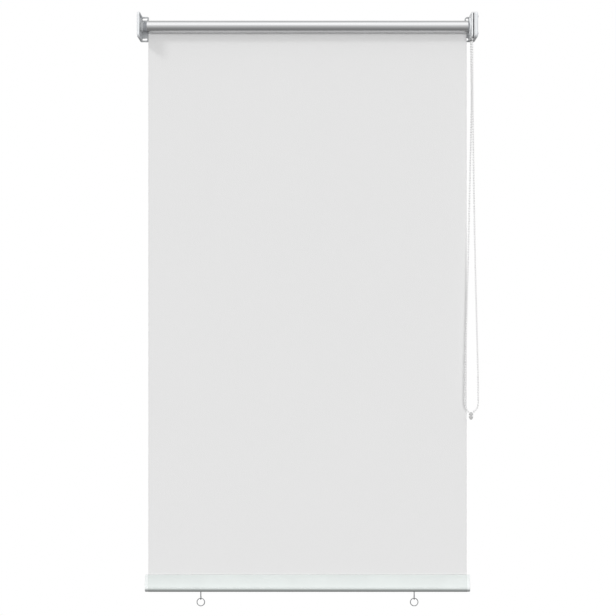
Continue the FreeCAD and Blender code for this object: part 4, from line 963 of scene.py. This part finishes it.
def makeFasteners():
    p = fastenerPlaces
    y = strands["axisY"]
    corners = [(side, up) for side in (-1, 1) for up in (-1, 1)]
    guard = [(p["guardX"], y + side * p["guardAcross"], up * p["guardUp"]) for side, up in corners]
    core = [(p["coreX"], y, 0.0)]
    hub = [(p["hubX"], y, up * p["hubUp"]) for up in (-1, 1)]
    placeFasteners("guardScrews", panScrew, guard, 1, "guard_screws")
    placeFasteners("coreScrew", coreScrew, core, 1, "core_screw")
    placeFasteners("hubRivets", hubRivet, hub, -1, "idle_hub_rivets")


makeFasteners()
print("fasteners made")


# eye screws and tie rings: bent wire

eyeScrew = {
    "x": 0.2535, "middle": -1.354, "radius": 0.0035, "wire": 0.0012, "top": -1.3338, "neck": 0.004,
    "open": 24, "steps": 30,
}
tieRing = {"radius": 0.009, "wire": 0.001, "middle": -1.3642, "steps": 72, "gap": 1.2}


def bentPath(name, points, radius):
    data = bpy.data.curves.new(name, "CURVE")
    data.dimensions = "3D"
    spline = data.splines.new("POLY")
    spline.points.add(len(points) - 1)
    for point, place in zip(spline.points, points):
        point.co = (*place, 1.0)
    data.bevel_depth = radius
    data.bevel_resolution = 6
    data.use_fill_caps = True
    return plainMesh(linked(f"{name}Source", data), name, bentWire)


def makeEye(side):
    e = eyeScrew
    word = "left" if side < 0 else "right"
    x = side * e["x"]
    y = clothSheet["y"]
    points = [(x, y, e["top"]), (x, y, e["middle"] + e["radius"] + e["neck"])]
    for i in range(e["steps"] + 1):
        angle = math.radians(90 - (360 - e["open"]) * i / e["steps"])
        points.append((
            x, y + e["radius"] * math.cos(angle), e["middle"] + e["radius"] * math.sin(angle),
        ))
    piece = bentPath(f"{word}Eye", points, e["wire"])
    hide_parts(f"eye_screw_{word}")
    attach(piece, "hem_bar")


def makeRing(side):
    r = tieRing
    word = "left" if side < 0 else "right"
    x = side * eyeScrew["x"]
    y = clothSheet["y"]
    points = []
    for i in range(r["steps"] + 1):
        angle = math.radians(-90 + r["gap"] / 2 + (360 - r["gap"]) * i / r["steps"])
        points.append((x + r["radius"] * math.cos(angle), y, r["middle"] + r["radius"] * math.sin(angle)))
    piece = bentPath(f"{word}Ring", points, r["wire"])
    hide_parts(f"ring_{word}")
    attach(piece, f"{word}_tie_ring")


for side in (-1, 1):
    makeEye(side)
    makeRing(side)
print("eyes and rings made")


# soft studio light and a pale floor well below the blind

studio = {
    "dome": 0.58,
    "domeBelow": 0.14,
    "domeBack": 1.9,
    "mirrorStops": [
        (0.0, 0.33), (0.1, 0.31), (0.2, 0.43), (0.35, 0.62), (0.5, 0.82), (0.67, 1.2), (0.82, 1.7),
        (0.94, 1.6), (1.0, 1.12),
    ],
    "mirrorBack": 0.38,
    "mirrorTurn": (-0.1, 0.6),
    "belowTurn": (-0.15, 0.15),
    "backTurn": (-0.05, 0.3),
    "floor": {"z": -2.15, "reach": 5.0, "front": -6.5, "back": 3.3, "colour": (0.82, 0.82, 0.82)},
}
lamps = {
    "keyLight": {"strength": 0.7, "towards": (1.15, 1.0, -0.95), "spread": 11},
    "fillLight": {"strength": 1.77, "towards": (-0.1, 1.0, 0.06), "spread": 30},
}


def makeFloor():
    f = studio["floor"]
    reach = f["reach"]
    corners = [(-reach, f["front"]), (reach, f["front"]), (reach, f["back"]), (-reach, f["back"])]
    mesh = bpy.data.meshes.new("studioFloor")
    mesh.from_pydata([(x, y, f["z"]) for x, y in corners], [], [(0, 1, 2, 3)])
    floorPaint = mouldedPlastic("floorPaint", f["colour"], finishes["mouldedGrey"])
    made = asPiece("studioFloor", mesh, floorPaint, smooth=False)
    made.visible_glossy = False
    made.visible_diffuse = False
    made.visible_shadow = False


def makeLamp(name, settings):
    data = bpy.data.lights.new(name, "SUN")
    data.energy = settings["strength"]
    data.angle = math.radians(settings["spread"])
    made = linked(name, data)
    made.rotation_euler = Vector(settings["towards"]).to_track_quat("-Z", "Y").to_euler()
    made.visible_glossy = False


def softStep(tree, value, edges, ends):
    made = treeNode(tree, "ShaderNodeMapRange", {"interpolation_type": "SMOOTHSTEP"}, {
        "Value": value, "From Min": edges[0], "From Max": edges[1], "To Min": ends[0], "To Max": ends[1],
    })
    return made.outputs["Result"]


def makeWorld():
    world = bpy.data.worlds.new("studioWorld")
    scene.world = world
    world.use_nodes = True
    tree = world.node_tree
    tree.nodes.clear()
    where = treeNode(tree, "ShaderNodeTexCoord")
    split = treeNode(tree, "ShaderNodeSeparateXYZ", None, {"Vector": where.outputs["Generated"]})
    height = treeNode(tree, "ShaderNodeMapRange", None, {"Value": split.outputs["Z"], "From Min": -1.0})
    ramp = treeNode(tree, "ShaderNodeValToRGB", None, {"Fac": height.outputs["Result"]})
    for number, (place, grey) in enumerate(studio["mirrorStops"]):
        stops = ramp.color_ramp.elements
        stop = stops[number] if number < 2 else stops.new(place)
        stop.position = place
        stop.color = (grey, grey, grey, 1)
    across = split.outputs["Y"]
    behind = softStep(tree, across, studio["mirrorTurn"], (1.0, studio["mirrorBack"]))
    rear = softStep(tree, across, studio["backTurn"], (1.0, studio["domeBack"]))
    below = softStep(tree, split.outputs["Z"], studio["belowTurn"], (studio["domeBelow"], studio["dome"]))
    rays = treeNode(tree, "ShaderNodeLightPath").outputs
    mirrored = treeNode(tree, "ShaderNodeBackground", None, {
        "Color": ramp.outputs["Color"], "Strength": behind,
    })
    share = treeNode(tree, "ShaderNodeMath", {"operation": "MULTIPLY"}, {0: below, 1: rear})
    dome = treeNode(tree, "ShaderNodeBackground", None, {
        "Color": (1, 1, 1, 1), "Strength": share.outputs[0],
    })
    backdrop = treeNode(tree, "ShaderNodeBackground", None, {"Color": (1, 1, 1, 1)})
    lit = treeNode(tree, "ShaderNodeMixShader", None, {
        0: rays["Is Glossy Ray"], 1: dome.outputs[0], 2: mirrored.outputs[0],
    })
    seen = treeNode(tree, "ShaderNodeMixShader", None, {
        0: rays["Is Camera Ray"], 1: lit.outputs[0], 2: backdrop.outputs[0],
    })
    treeNode(tree, "ShaderNodeOutputWorld", None, {"Surface": seen.outputs[0]})


makeFloor()
for name, settings in lamps.items():
    makeLamp(name, settings)
makeWorld()
print("light and floor made")
